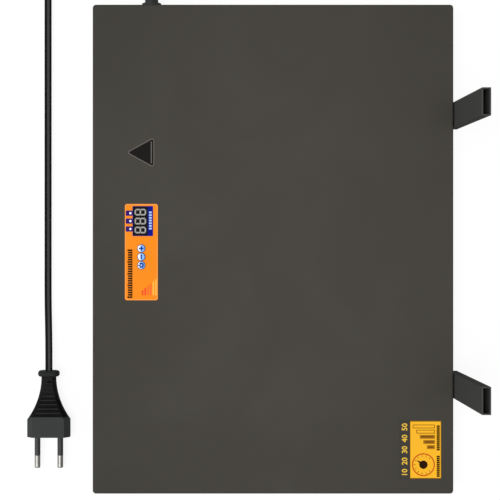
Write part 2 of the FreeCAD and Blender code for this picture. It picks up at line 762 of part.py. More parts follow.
def insulation_pad():
    """The felt behind the sheet, with pockets for the cut-out and the probe."""
    felt = box(
        ELEMENT_X0, ELEMENT_X1, -INSULATION_Y, INSULATION_Y, INSULATION_Z, ELEMENT_Z
    )
    cutters = stud_holes(INSULATION_Z, INSULATION)
    cutters.append(
        hole(CUTOUT_X, CUTOUT_ALONG, INSULATION_Z, CUTOUT_RADIUS + POCKET_CLEARANCE, INSULATION)
    )
    half = PROBE_RADIUS + POCKET_CLEARANCE
    cutters.append(
        box(
            ELEMENT_X0 - THROUGH, PROBE_X + PROBE_LENGTH / 2 + POCKET_CLEARANCE,
            PROBE_ALONG - half, PROBE_ALONG + half, PROBE_Z - half, ELEMENT_Z + THROUGH,
        )
    )
    return felt.cut(cutters)


def clamp_bars():
    """The steel bars that press the stack to the front."""
    bars = []
    for y in STUD_YS:
        bar = plate(
            ELEMENT_X0, ELEMENT_X1, y - BAR_WIDTH / 2, y + BAR_WIDTH / 2,
            BAR_Z, INSULATION_Z, BAR_WIDTH / 4,
        )
        bars.append(bar.cut(stud_holes(BAR_Z, BAR)))
    return Part.Compound(bars)


def clamp_studs():
    """The studs welded behind the front face."""
    end = BAR_Z - STUD_NUT - STUD_TIP
    return Part.Compound([
        rod(x, y, end, STUD_RADIUS, INNER_FRONT_Z - end) for x in STUD_XS for y in STUD_YS
    ])


def clamp_nuts():
    """The nuts on the studs."""
    bore = STUD_RADIUS + THREAD_CLEARANCE
    return Part.Compound([
        hex_nut(x, y, BAR_Z - STUD_NUT, STUD_NUT_FLATS, STUD_NUT, bore)
        for x in STUD_XS for y in STUD_YS
    ])


def thermal_cutout():
    """The bimetal cut-out in its pocket against the sheet, with two tabs."""
    base = ELEMENT_Z - CUTOUT_DEPTH
    body = rod(CUTOUT_X, CUTOUT_ALONG, base, CUTOUT_RADIUS, CUTOUT_DEPTH)
    tab = (CUTOUT_TAB_WIDTH, CUTOUT_TAB_LENGTH, CUTOUT_TAB_DEPTH)
    tabs = [
        block(CUTOUT_X, CUTOUT_ALONG + side * CUTOUT_RADIUS / 2, base - CUTOUT_TAB_DEPTH, tab)
        for side in (-1, 1)
    ]
    return body.fuse(tabs)


def temperature_probe():
    """The probe's metal sleeve, in its slot against the sheet."""
    return rod(
        PROBE_X - PROBE_LENGTH / 2, PROBE_ALONG, PROBE_Z, PROBE_RADIUS, PROBE_LENGTH, X_AXIS
    )


def probe_lead():
    """The thin lead from the board to the probe."""
    start = BOARD_X + BOARD_HEIGHT / 2
    end = PROBE_X - PROBE_LENGTH / 2
    return rod(start, PROBE_ALONG, PROBE_Z, PROBE_LEAD_RADIUS, end - start, X_AXIS)


# Inner wires
def mains_cores():
    """The lead's two cores, from the sheath's end to the terminal block."""
    poles = terminal_pole_xs()[:2]
    sheath_y = SIDE_Y - SHEET - GLAND_INNER - CORD_INSIDE
    level = BOARD_BACK_Z - TERMINAL_DEPTH / 2
    cores = []
    for x, side in zip(poles, (-1, 1)):
        start_x = GLAND_X + side * CORD_RADIUS / 2
        cores.append(
            tube(
                [
                    (start_x, sheath_y, GLAND_LEVEL),
                    (start_x, sheath_y - CORE_STRAIGHT, GLAND_LEVEL),
                    (x, terminal_y(1) + CORE_STRAIGHT, level),
                    (x, terminal_y(1), level),
                ],
                CORE_RADIUS,
            )
        )
    return Part.Compound(cores)


def busbar_drop(side):
    """The end of a lead: through the barrier's notch, then up to its busbar."""
    x = ELEMENT_X0 + BUSBAR_WIDTH
    return [(x, side * BUSBAR_Y, WIRE_LEVEL), (x, side * BUSBAR_Y, ELEMENT_Z - BUSBAR)]


def element_leads():
    """The leads from the terminal block to the cut-out and on to both busbars."""
    poles = terminal_pole_xs()
    level = BOARD_BACK_Z - TERMINAL_DEPTH / 2
    bay_x = BARRIER_X - 6 * LEAD_RADIUS
    near_tab = CUTOUT_ALONG - CUTOUT_TAB_REACH
    far_tab = CUTOUT_ALONG + CUTOUT_TAB_REACH
    to_cutout = [
        (poles[2], terminal_y(1), level),
        (poles[2], terminal_y(1) + LEAD_STRAIGHT, level),
        (bay_x, CUTOUT_LEAD_Y, WIRE_LEVEL),
        (CUTOUT_X, near_tab - LEAD_STRAIGHT, WIRE_LEVEL),
        (CUTOUT_X, near_tab, WIRE_LEVEL),
    ]
    to_far_busbar = [
        (CUTOUT_X, far_tab, WIRE_LEVEL),
        (CUTOUT_X, far_tab + LEAD_SWEEP, WIRE_LEVEL),
        (ELEMENT_X0 + BUSBAR_WIDTH, BUSBAR_Y - LEAD_SWEEP, WIRE_LEVEL),
        *busbar_drop(1),
    ]
    to_near_busbar = [
        (poles[3], terminal_y(-1), level),
        (poles[3], terminal_y(-1) - LEAD_STRAIGHT / 2, level),
        (bay_x, terminal_y(-1) - 1.5 * LEAD_STRAIGHT, WIRE_LEVEL),
        (bay_x, -BUSBAR_Y + LEAD_STRAIGHT, WIRE_LEVEL),
        (BARRIER_X, -BUSBAR_Y, WIRE_LEVEL),
        *busbar_drop(-1),
    ]
    routes = (to_cutout, to_far_busbar, to_near_busbar)
    return Part.Compound([tube(route, LEAD_RADIUS) for route in routes])


# Feet
def foot(side):
    """A foot: a box tube under the heater's bottom edge that reaches forwards."""
    y = FOOT_YS[side]
    top = SOLE_X - FOOT_HEIGHT
    half = FOOT_WIDTH / 2
    z0, z1 = BACK_Z + FOOT_BACK_GAP, FRONT_Z + FOOT_REACH
    bar = box(top, SOLE_X, y - half, y + half, z0, z1)
    bar = bar.makeFillet(FOOT_BEND, edges_along(bar, Z_AXIS))
    inside = box(
        top + FOOT_SHEET, SOLE_X - FOOT_SHEET, y - half + FOOT_SHEET, y + half - FOOT_SHEET,
        z0 - THROUGH, z1 + THROUGH,
    )
    pivot = hole(top, y, PIVOT_Z, PIVOT_RADIUS + PIVOT_CLEARANCE, FOOT_SHEET, X_AXIS)
    access = hole(
        SOLE_X - FOOT_SHEET, y, PIVOT_Z, PIVOT_HEAD_RADIUS + ACCESS_CLEARANCE, FOOT_SHEET, X_AXIS
    )
    return bar.cut([inside, pivot, access])


def foot_screw(side):
    """The screw that a foot turns on, from inside its tube into the casing."""
    bearing = SOLE_X - FOOT_HEIGHT + FOOT_SHEET + RUNNING_GAP
    length = bearing - (BOTTOM_X - SHEET - FOOT_NUT - PIVOT_END)
    return pan_screw(
        bearing, FOOT_YS[side], PIVOT_Z, PIVOT_RADIUS, length,
        PIVOT_HEAD_RADIUS, PIVOT_HEAD, -X_AXIS,
    )


def foot_washers():
    """The nylon washers between the feet and the casing."""
    bore = PIVOT_RADIUS + PIVOT_CLEARANCE
    return Part.Compound([
        rod(BOTTOM_X, y, PIVOT_Z, FOOT_WASHER_RADIUS, FOOT_WASHER - RUNNING_GAP, X_AXIS).cut(
            hole(BOTTOM_X, y, PIVOT_Z, bore, FOOT_WASHER, X_AXIS)
        )
        for y in FOOT_YS.values()
    ])


def foot_nuts():
    """The nuts welded inside the casing's bottom wall."""
    bore = PIVOT_RADIUS + THREAD_CLEARANCE
    x = BOTTOM_X - SHEET - FOOT_NUT
    return Part.Compound([
        hex_nut(x, y, PIVOT_Z, FOOT_NUT_FLATS, FOOT_NUT, bore, X_AXIS) for y in FOOT_YS.values()
    ])


# Lead
def cord_bush():
    """The lead's bush in the side wall: a flange outside, a ring inside and a ribbed tail."""
    wall_in = SIDE_Y - SHEET
    inner_y = wall_in - GLAND_INNER
    inner = rod(GLAND_X, inner_y, GLAND_LEVEL, GLAND_INNER_RADIUS, GLAND_INNER, Y_AXIS)
    neck = rod(GLAND_X, wall_in, GLAND_LEVEL, GLAND_HOLE_RADIUS - THREAD_CLEARANCE, SHEET, Y_AXIS)
    flange = rod(GLAND_X, SIDE_Y, GLAND_LEVEL, GLAND_FLANGE_RADIUS, GLAND_FLANGE, Y_AXIS)
    root = Vector(GLAND_X, SIDE_Y + GLAND_FLANGE, GLAND_LEVEL)
    tail = Part.makeCone(GLAND_TAIL_RADIUS, GLAND_TIP_RADIUS, GLAND_TAIL, root, Y_AXIS)
    step = GLAND_TAIL / (GLAND_RIBS + 1)
    grooves = []
    for i in range(GLAND_RIBS):
        y = root.y + step * (i + 1) - GLAND_GROOVE / 2
        share = (y - root.y) / GLAND_TAIL
        surface = GLAND_TAIL_RADIUS + share * (GLAND_TIP_RADIUS - GLAND_TAIL_RADIUS)
        ring = rod(GLAND_X, y, GLAND_LEVEL, surface + THROUGH, GLAND_GROOVE, Y_AXIS)
        floor = surface - GLAND_RIB_DEPTH
        grooves.append(ring.cut(hole(GLAND_X, y, GLAND_LEVEL, floor, GLAND_GROOVE, Y_AXIS)))
    bush = inner.fuse([neck, flange, tail.cut(grooves)])
    length = GLAND_INNER + SHEET + GLAND_FLANGE + GLAND_TAIL
    return bush.cut(hole(GLAND_X, inner_y, GLAND_LEVEL, CORD_RADIUS, length, Y_AXIS)).removeSplitter()


def coil_levels():
    """The two layers' heights: the lower one lies on its ties."""
    low = CORD_RADIUS + TIE + TIE_CLEARANCE
    return low, low + 2 * CORD_RADIUS + CORD_GAP


def coil_point(turn):
    """A place and a heading on the coil: in on the lower layer, up, and out on the upper one."""
    low, high = coil_levels()
    pitch = 2 * CORD_RADIUS + CORD_GAP
    climb = 0.5
    if turn <= COIL_TURNS_IN:
        radius, rate, level, rise = COIL_RADIUS - pitch * turn, -pitch, low, 0.0
    elif turn < COIL_TURNS_IN + climb:
        share = (turn - COIL_TURNS_IN) / climb
        dip = pitch * climb / math.pi
        inner = COIL_RADIUS - pitch * COIL_TURNS_IN
        radius = inner - dip * math.sin(math.pi * share)
        rate = -dip * math.pi / climb * math.cos(math.pi * share)
        level = low + (high - low) * (share - math.sin(2 * math.pi * share) / (2 * math.pi))
        rise = (high - low) / climb * (1 - math.cos(2 * math.pi * share))
    else:
        out = turn - COIL_TURNS_IN - climb
        radius, rate, level, rise = COIL_RADIUS - pitch * (COIL_TURNS_IN - out), pitch, high, 0.0
    angle = 2 * math.pi * turn
    place = Vector(COIL_X + radius * math.cos(angle), COIL_Y + radius * math.sin(angle), level)
    around = 2 * math.pi * radius
    heading = Vector(
        rate * math.cos(angle) - around * math.sin(angle),
        rate * math.sin(angle) + around * math.cos(angle),
        rise,
    )
    return place, heading.normalize()


def biarc(start, heading, end, end_heading):
    """Two arcs, tangent to each other, from one place and heading to another."""
    chord = end - start
    both = heading + end_heading
    spread = 2 * (1 - heading.dot(end_heading))
    across = chord.dot(both)
    reach = (math.sqrt(across ** 2 + spread * chord.dot(chord)) - across) / spread
    middle = (start + end + (heading - end_heading) * reach) * 0.5
    first = arc_edge(start, heading, middle)
    return [first, arc_edge(middle, first.tangentAt(first.LastParameter), end)]


def coil_edges():
    """The coil's line: quarter turns of arcs, with a straight end of one diameter each way."""
    turns = COIL_TURNS_IN + COIL_TURNS_OUT + 0.5
    marks = [coil_point(quarter / 4) for quarter in range(int(4 * turns) + 1)]
    marks[0] = (marks[0][0], Vector(0, 1, 0))
    marks[-1] = (marks[-1][0], Vector(0, -1, 0))
    straight = Y_AXIS * (2 * CORD_RADIUS)
    edges = [Part.LineSegment(marks[0][0] - straight, marks[0][0]).toShape()]
    for (start, heading), (end, end_heading) in zip(marks, marks[1:]):
        edges += biarc(start, heading, end, end_heading)
    edges.append(Part.LineSegment(marks[-1][0], marks[-1][0] - straight).toShape())
    return edges


def least_gap(edges):
    """The least gap of a tube to itself, measured on points along its line."""
    points, far = [], 0.0
    for edge in edges:
        count = max(2, int(edge.Length / 4))
        for i in range(count):
            points.append((far + edge.Length * i / count, edge.valueAt(
                edge.FirstParameter + (edge.LastParameter - edge.FirstParameter) * i / count)))
        far += edge.Length
    apart = 8 * CORD_RADIUS
    return min(
        (p - q).Length for a, p in points for b, q in points if b - a > apart
    ) - 2 * CORD_RADIUS


def tail_route():
    """The lead from its bush, down to the coil."""
    low, _ = coil_levels()
    return [
        Vector(GLAND_X, SIDE_Y + GLAND_FLANGE + GLAND_TAIL, GLAND_LEVEL),
        Vector(GLAND_X, SIDE_Y + TAIL_LEAVES, GLAND_LEVEL),
        Vector(GLAND_X, SIDE_Y + TAIL_LANDS, low),
        Vector(GLAND_X, COIL_Y - 2 * CORD_RADIUS, low),
    ]


def run_route():
    """The lead from the coil, down to the floor and straight along the heater to the plug."""
    _, high = coil_levels()
    return [
        Vector(RUN_X, COIL_Y - 2 * CORD_RADIUS, high),
        Vector(RUN_X, SIDE_Y + RUN_LEAVES, high),
        Vector(RUN_X, SIDE_Y + RUN_LANDS, CORD_RADIUS),
        Vector(RUN_X, PLUG_END_Y + RUN_LIFTS, CORD_RADIUS),
        Vector(PLUG_X, PLUG_END_Y + RUN_MEETS, PLUG_Z),
        Vector(PLUG_X, PLUG_END_Y, PLUG_Z),
    ]


def cord_inside():
    """The sheathed end of the lead, held by the bush."""
    start = SIDE_Y - SHEET - GLAND_INNER - CORD_INSIDE
    length = CORD_INSIDE + GLAND_INNER + SHEET + GLAND_FLANGE + GLAND_TAIL
    return rod(GLAND_X, start, GLAND_LEVEL, CORD_RADIUS, length, Y_AXIS)


def cord_ties():
    """Two hook-and-loop straps round the coil, on its far and near sides."""
    low, high = coil_levels()
    pitch = 2 * CORD_RADIUS + CORD_GAP
    inner = COIL_RADIUS - pitch * (COIL_TURNS_IN + 0.25)
    near, far = inner - CORD_RADIUS - TIE_CLEARANCE, COIL_RADIUS + CORD_RADIUS + TIE_CLEARANCE
    z0, z1 = low - CORD_RADIUS - TIE_CLEARANCE, high + CORD_RADIUS + TIE_CLEARANCE
    ties = []
    for side in (-1, 1):
        y0, y1 = sorted((COIL_Y + side * near, COIL_Y + side * far))
        strap = box(
            COIL_X - TIE_WIDTH / 2, COIL_X + TIE_WIDTH / 2, y0 - TIE, y1 + TIE, z0 - TIE, z1 + TIE
        )
        strap = strap.makeFillet(2 * TIE, edges_along(strap, X_AXIS))
        ties.append(strap.cut(
            box(COIL_X - TIE_WIDTH, COIL_X + TIE_WIDTH, y0, y1, z0, z1)
        ))
    return Part.Compound(ties)


# Plug
def waisted_outline(width, neck, across):
    """The plug's outline on one plane: a block, a hollow arc each side and a neck."""
    fall = (width - neck) / 2
    radius = (PLUG_TAPER ** 2 + fall ** 2) / (2 * fall)
    bow = radius - math.sqrt(radius ** 2 - (PLUG_TAPER / 2) ** 2)
    sides = []
    for sign in (1, -1):
        front = Vector(0, PLUG_FACE_Y, 0) + across * (sign * width / 2)
        shoulder = Vector(0, PLUG_SHOULDER_Y, 0) + across * (sign * width / 2)
        hollow = Vector(0, PLUG_NECK_Y - PLUG_TAPER / 2, 0) + across * (sign * (neck / 2 + bow))
        throat = Vector(0, PLUG_NECK_Y, 0) + across * (sign * neck / 2)
        sides.append((front, shoulder, hollow, throat))
    (f1, s1, h1, t1), (f2, s2, h2, t2) = sides
    return Part.Face(Part.Wire([
        Part.LineSegment(f1, s1).toShape(), Part.Arc(s1, h1, t1).toShape(),
        Part.LineSegment(t1, t2).toShape(), Part.Arc(t2, h2, s2).toShape(),
        Part.LineSegment(s2, f2).toShape(), Part.LineSegment(f2, f1).toShape(),
    ]))


def plug_prism(width, neck, across, through):
    """The plug's outline on one plane, drawn out both ways through the plug."""
    outline = waisted_outline(width, neck, across)
    outline.translate(Vector(PLUG_X, 0, PLUG_Z) - through * PLUG_WIDTH)
    return outline.extrude(through * (2 * PLUG_WIDTH))


def bevelled(width, thickness, bevel):
    """The distance across two opposite bevels of a block."""
    return (width + thickness - 2 * bevel) / math.sqrt(2)


def plug_body():
    """The moulded two-pin plug: bevelled block, waisted grip with ribs, and a collar."""
    rising = (X_AXIS + Z_AXIS).normalize()
    falling = (X_AXIS - Z_AXIS).normalize()
    across_bevels = bevelled(PLUG_WIDTH, PLUG_THICKNESS, PLUG_BEVEL)
    across_neck = bevelled(PLUG_NECK_WIDTH, PLUG_NECK_THICKNESS, PLUG_NECK_BEVEL)
    grip = plug_prism(PLUG_WIDTH, PLUG_NECK_WIDTH, X_AXIS, Z_AXIS)
    grip = grip.common(plug_prism(PLUG_THICKNESS, PLUG_NECK_THICKNESS, Z_AXIS, X_AXIS))
    grip = grip.common(plug_prism(across_bevels, across_neck, rising, falling))
    grip = grip.common(plug_prism(across_bevels, across_neck, falling, rising))
    collar = plate(
        -PLUG_COLLAR_WIDTH / 2, PLUG_COLLAR_WIDTH / 2,
        -PLUG_COLLAR_THICKNESS / 2, PLUG_COLLAR_THICKNESS / 2, 0, PLUG_COLLAR,
        PLUG_COLLAR_CORNER,
    )
    rims = [e for e in collar.Edges if e.BoundBox.ZLength < LEVEL]
    collar = collar.makeFillet(PLUG_COLLAR_EDGE, rims)
    collar.Placement = Placement(Vector(PLUG_X, PLUG_NECK_Y, PLUG_Z), Rotation(X_AXIS, -90))
    first = PLUG_SHOULDER_Y + PLUG_RIB_SETBACK + PLUG_RIB_PITCH / 2
    cutters = []
    for i in range(PLUG_RIBS):
        y = first + PLUG_RIB_PITCH * i
        share = (PLUG_NECK_Y - y) / PLUG_TAPER
        half = PLUG_NECK_THICKNESS / 2 + (PLUG_THICKNESS - PLUG_NECK_THICKNESS) / 2 * share ** 2
        floor = half - PLUG_RIB_DEPTH
        for low in (PLUG_Z + floor, PLUG_Z - floor - THROUGH):
            cutters.append(block(PLUG_X, y, low, (PLUG_WIDTH, PLUG_RIB_WIDTH, THROUGH)))
    slot_y = PLUG_NECK_Y - GRIP_SLOT_SETBACK
    slot = (GRIP_SLOT_LENGTH, GRIP_SLOT_WIDTH, GRIP_SLOT_DEPTH + THROUGH)
    depth_z = PLUG_NECK_THICKNESS / 2 - GRIP_SLOT_DEPTH
    for side, low in ((1, depth_z), (-1, -PLUG_NECK_THICKNESS / 2 - THROUGH)):
        x = PLUG_X + side * GRIP_SLOT_LENGTH / 2
        cutters.append(block(x, slot_y, PLUG_Z + low, slot))
    for x in pin_xs():
        root = rod(x, PLUG_FACE_Y, PLUG_Z, PIN_CORE_RADIUS, PIN_ROOT, Y_AXIS)
        cutters.append(root)
    return grip.fuse(collar).cut(cutters).removeSplitter()


def pin_xs():
    """The two pins' places across the plug."""
    return (PLUG_X - PIN_SPACING / 2, PLUG_X + PIN_SPACING / 2)


def plug_pins():
    """The metal pins: bare at the tip, thinner under their sleeves and in the plug."""
    pins = []
    for x in pin_xs():
        bare = PIN_LENGTH - PIN_SLEEVE
        tip = rod(x, PLUG_FACE_Y - PIN_LENGTH, PLUG_Z, PIN_RADIUS, bare, Y_AXIS)
        rim = [e for e in tip.Edges if e.BoundBox.YMax < PLUG_FACE_Y - PIN_LENGTH + LEVEL]
        tip = tip.makeFillet(PIN_TIP, rim)
        core = rod(x, PLUG_FACE_Y - PIN_SLEEVE, PLUG_Z, PIN_CORE_RADIUS, PIN_SLEEVE + PIN_ROOT, Y_AXIS)
        pins.append(tip.fuse(core))
    return Part.Compound(pins)


def pin_sleeves():
    """The insulating sleeves on the pins, next to the plug."""
    return Part.Compound([
        rod(x, PLUG_FACE_Y - PIN_SLEEVE, PLUG_Z, PIN_RADIUS, PIN_SLEEVE, Y_AXIS).cut(
            hole(x, PLUG_FACE_Y - PIN_SLEEVE, PLUG_Z, PIN_CORE_RADIUS, PIN_SLEEVE, Y_AXIS)
        )
        for x in pin_xs()
    ])


def build():
    """Every piece of the heater by its name."""
    tail_edges, tail_radii = rounded_route(tail_route())
    run_edges, run_radii = rounded_route(run_route())
    coil = coil_edges()
    for name, edges, radii in (("tail", tail_edges, tail_radii), ("run", run_edges, run_radii)):
        print(name, "bend radii", [round(r, 1) for r in radii])
    lengths = [sum(e.Length for e in edges) for edges in (tail_edges, coil, run_edges)]
    print("lead outside its bush", [round(v, 1) for v in lengths], round(sum(lengths), 1))
    print("coil's least gap to itself", round(least_gap(coil), 2))
    parts = {
        "front_cover": front_cover(),
        "rear_cover": rear_cover(),
        "cover_screws": cover_screws(),
        "wall_spacers": wall_spacers(),
        "control_label": control_label(),
        "display_lens": display_lens(),
        "front_badge": badge(),
        "notice_plate": notice_plate(),
        "control_board": control_board(),
        "board_standoffs": board_standoffs(),
        "board_screws": board_screws(),
        "display_module": display_module(),
        "indicator_lights": indicator_lights(),
        "push_switches": push_switches(),
        "relay": on_board_back(RELAY_Y, RELAY_WIDTH, RELAY_LENGTH, RELAY_DEPTH),
        "supply_module": on_board_back(SUPPLY_Y, SUPPLY_WIDTH, SUPPLY_LENGTH, SUPPLY_DEPTH),
        "filter_capacitor": filter_capacitor(),
        "terminal_block": on_board_back(
            TERMINAL_Y, TERMINAL_WIDTH, TERMINAL_LENGTH, TERMINAL_DEPTH
        ),
        "probe_header": probe_header(),
        "heat_barrier": heat_barrier(),
        "heating_element": heating_element(),
        "busbars": busbars(),
        "insulation_pad": insulation_pad(),
        "clamp_bars": clamp_bars(),
        "clamp_studs": clamp_studs(),
        "clamp_nuts": clamp_nuts(),
        "thermal_cutout": thermal_cutout(),
        "temperature_probe": temperature_probe(),
        "probe_lead": probe_lead(),
        "mains_cores": mains_cores(),
        "element_leads": element_leads(),
        "foot_washers": foot_washers(),
        "foot_nuts": foot_nuts(),
        "cord_bush": cord_bush(),
        "cord_inside": cord_inside(),
        "cord_tail": sweep(tail_edges, CORD_RADIUS),
        "cord_coil": sweep(coil, CORD_RADIUS),
        "cord_run": sweep(run_edges, CORD_RADIUS),
        "cord_ties": cord_ties(),
        "plug_body": plug_body(),
        "plug_pins": plug_pins(),
        "pin_sleeves": pin_sleeves(),
    }
    for index, name in enumerate(BUTTON_NAMES):
        parts[f"button_{name}"] = push_button(index)
    for side in FOOT_YS:
        parts[f"foot_{side}"] = foot(side)
        parts[f"foot_screw_{side}"] = foot_screw(side)
    return parts


os.makedirs("parts", exist_ok=True)
for node, shape in build().items():
    shape.exportStep(os.path.join("parts", node + ".step"))
    print(f"{node}: {len(shape.Solids)} solid(s), {shape.Volume:.1f} mm3, valid {shape.isValid()}")
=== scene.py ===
"""Looks of a flat panel heater that lies on its back: finishes, printed faces, mains lead and studio."""

from __future__ import annotations

import json
import logging
import math
from dataclasses import dataclass
from enum import Enum
from typing import Callable, ClassVar

import bpy
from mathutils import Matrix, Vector

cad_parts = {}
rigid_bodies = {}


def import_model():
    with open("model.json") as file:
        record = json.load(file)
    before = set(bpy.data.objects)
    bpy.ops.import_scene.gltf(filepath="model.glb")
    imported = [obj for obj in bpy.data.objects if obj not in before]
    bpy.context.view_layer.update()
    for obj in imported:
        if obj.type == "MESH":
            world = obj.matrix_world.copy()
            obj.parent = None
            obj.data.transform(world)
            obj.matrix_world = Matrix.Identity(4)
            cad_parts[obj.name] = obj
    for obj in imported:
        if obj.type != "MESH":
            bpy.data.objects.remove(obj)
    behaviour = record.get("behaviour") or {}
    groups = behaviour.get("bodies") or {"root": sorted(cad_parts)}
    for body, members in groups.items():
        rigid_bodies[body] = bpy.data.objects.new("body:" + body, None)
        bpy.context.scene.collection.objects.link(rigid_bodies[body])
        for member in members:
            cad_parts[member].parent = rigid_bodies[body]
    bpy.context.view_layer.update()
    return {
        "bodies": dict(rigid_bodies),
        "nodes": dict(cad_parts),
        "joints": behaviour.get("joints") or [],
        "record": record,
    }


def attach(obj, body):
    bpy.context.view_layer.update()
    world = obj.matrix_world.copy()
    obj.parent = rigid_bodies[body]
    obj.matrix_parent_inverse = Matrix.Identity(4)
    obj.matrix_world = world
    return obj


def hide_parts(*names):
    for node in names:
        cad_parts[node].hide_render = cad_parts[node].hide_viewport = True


LOG = logging.getLogger("heater")
BODY = "heater"
Colour = tuple[float, float, float, float]
Point = tuple[float, float, float]
Spot = tuple[float, float]
Piece = bpy.types.Object
Socket = bpy.types.NodeSocket
Test = Callable[[Vector], bool]
UNIT: Spot = (0.0, 1.0)
NOISE: Spot = (0.3, 0.7)


class Pick(Enum):
    """What is selected in edit mode."""

    CORNER = "VERT"
    EDGE = "EDGE"
    FACE = "FACE"


class Mark(Enum):
    """The sign on a push button, by the name of the body that it rides on."""

    POWER = "button_power"
    MINUS = "button_minus"
    PLUS = "button_plus"


def ink(red: int, green: int, blue: int) -> Colour:
    """Turn a colour as a screen shows it into the linear colour that a shader takes.

    Args:
        red: The red level, from 0 to 255.
        green: The green level, from 0 to 255.
        blue: The blue level, from 0 to 255.

    Returns:
        The linear colour, fully opaque.
    """
    shares = [level / 255 for level in (red, green, blue)]
    linear = [s / 12.92 if s <= 0.04045 else ((s + 0.055) / 1.055) ** 2.4 for s in shares]
    return (linear[0], linear[1], linear[2], 1.0)


def toned(colour: Colour, share: float) -> Colour:
    """Make a linear colour lighter or darker by the share that each channel keeps."""
    return (colour[0] * share, colour[1] * share, colour[2] * share, 1.0)


@dataclass
class Graph:
    """A shader node tree that is written one node at a time."""

    tree: bpy.types.NodeTree

    def add(self, kind: str, inputs: dict | None = None, **settings: object) -> bpy.types.Node:
        """Add a node.

        Args:
            kind: The node's type.
            inputs: Values or output sockets for its inputs, by name or number.
            settings: Properties of the node itself.

        Returns:
            The new node.
        """
        node = self.tree.nodes.new(kind)
        for key, value in settings.items():
            setattr(node, key, value)
        self.feed(node, inputs or {})
        return node

    def feed(self, node: bpy.types.Node, inputs: dict) -> None:
        """Set or link a node's inputs.

        Args:
            node: The node to feed.
            inputs: Values or output sockets, by the input's name or number.
        """
        for key, value in inputs.items():
            socket = node.inputs[key]
            if isinstance(value, Socket):
                self.tree.links.new(value, socket)
            else:
                socket.default_value = value

    def place(self) -> Socket:
        """Give the socket of Object coordinates, from one node that all of the tree shares."""
        node = self.tree.nodes.get("place") or self.add("ShaderNodeTexCoord", name="place")
        return node.outputs["Object"]

    def normal(self) -> Socket:
        """Give the socket of the direction that the surface faces."""
        return self.add("ShaderNodeNewGeometry").outputs["Normal"]

    def axis(self, vector: Socket, letter: str) -> Socket:
        """Give one part of a vector by its letter."""
        return self.add("ShaderNodeSeparateXYZ", {0: vector}).outputs[letter]

    def effect(self, group: bpy.types.NodeTree, **inputs: object) -> bpy.types.NodeOutputs:
        """Place a shared node group on the piece's own coordinates and give its outputs."""
        fed = {"Vector": self.place(), **inputs}
        return self.add("ShaderNodeGroup", fed, node_tree=group).outputs

    def noise(self, vector: Socket, scale: object, **settings: float) -> Socket:
        """Add a noise and give the socket of its values."""
        inputs = {"Vector": vector, "Scale": scale, **settings}
        return self.add("ShaderNodeTexNoise", inputs).outputs["Fac"]

    def sum(self, operation: str, first: object, second: object) -> Socket:
        """Work out one number from two, by the arithmetic's name."""
        return self.add("ShaderNodeMath", {0: first, 1: second}, operation=operation).outputs[0]

    def vector(self, operation: str, first: object, second: object) -> Socket:
        """Work out one vector from two, or their dot product, by the arithmetic's name."""
        node = self.add("ShaderNodeVectorMath", {0: first, 1: second}, operation=operation)
        return node.outputs["Value" if operation == "DOT_PRODUCT" else "Vector"]

    def mix(self, first: object, second: object, share: object) -> Socket:
        """Mix two colours; the share is how much of the second shows."""
        inputs = {0: share, 6: first, 7: second}
        return self.add("ShaderNodeMix", inputs, data_type="RGBA").outputs[2]

    def span(self, value: object, source: Spot, target: Spot = UNIT) -> Socket:
        """Map a value from one range to another, held at its ends."""
        inputs = {0: value, 1: source[0], 2: source[1], 3: target[0], 4: target[1]}
        return self.add("ShaderNodeMapRange", inputs).outputs[0]

    def step(self, value: object, at: float, blur: float, target: Spot = UNIT) -> Socket:
        """Go from one end of a range to the other where a value passes a mark."""
        return self.span(value, (at - blur, at + blur), target)

    def bump(self, height: Socket, depth: float, strength: float) -> Socket:
        """Turn a height from 0 to 1, with its depth in metres, into a normal."""
        inputs = {"Height": height, "Distance": depth, "Strength": strength}
        return self.add("ShaderNodeBump", inputs).outputs["Normal"]


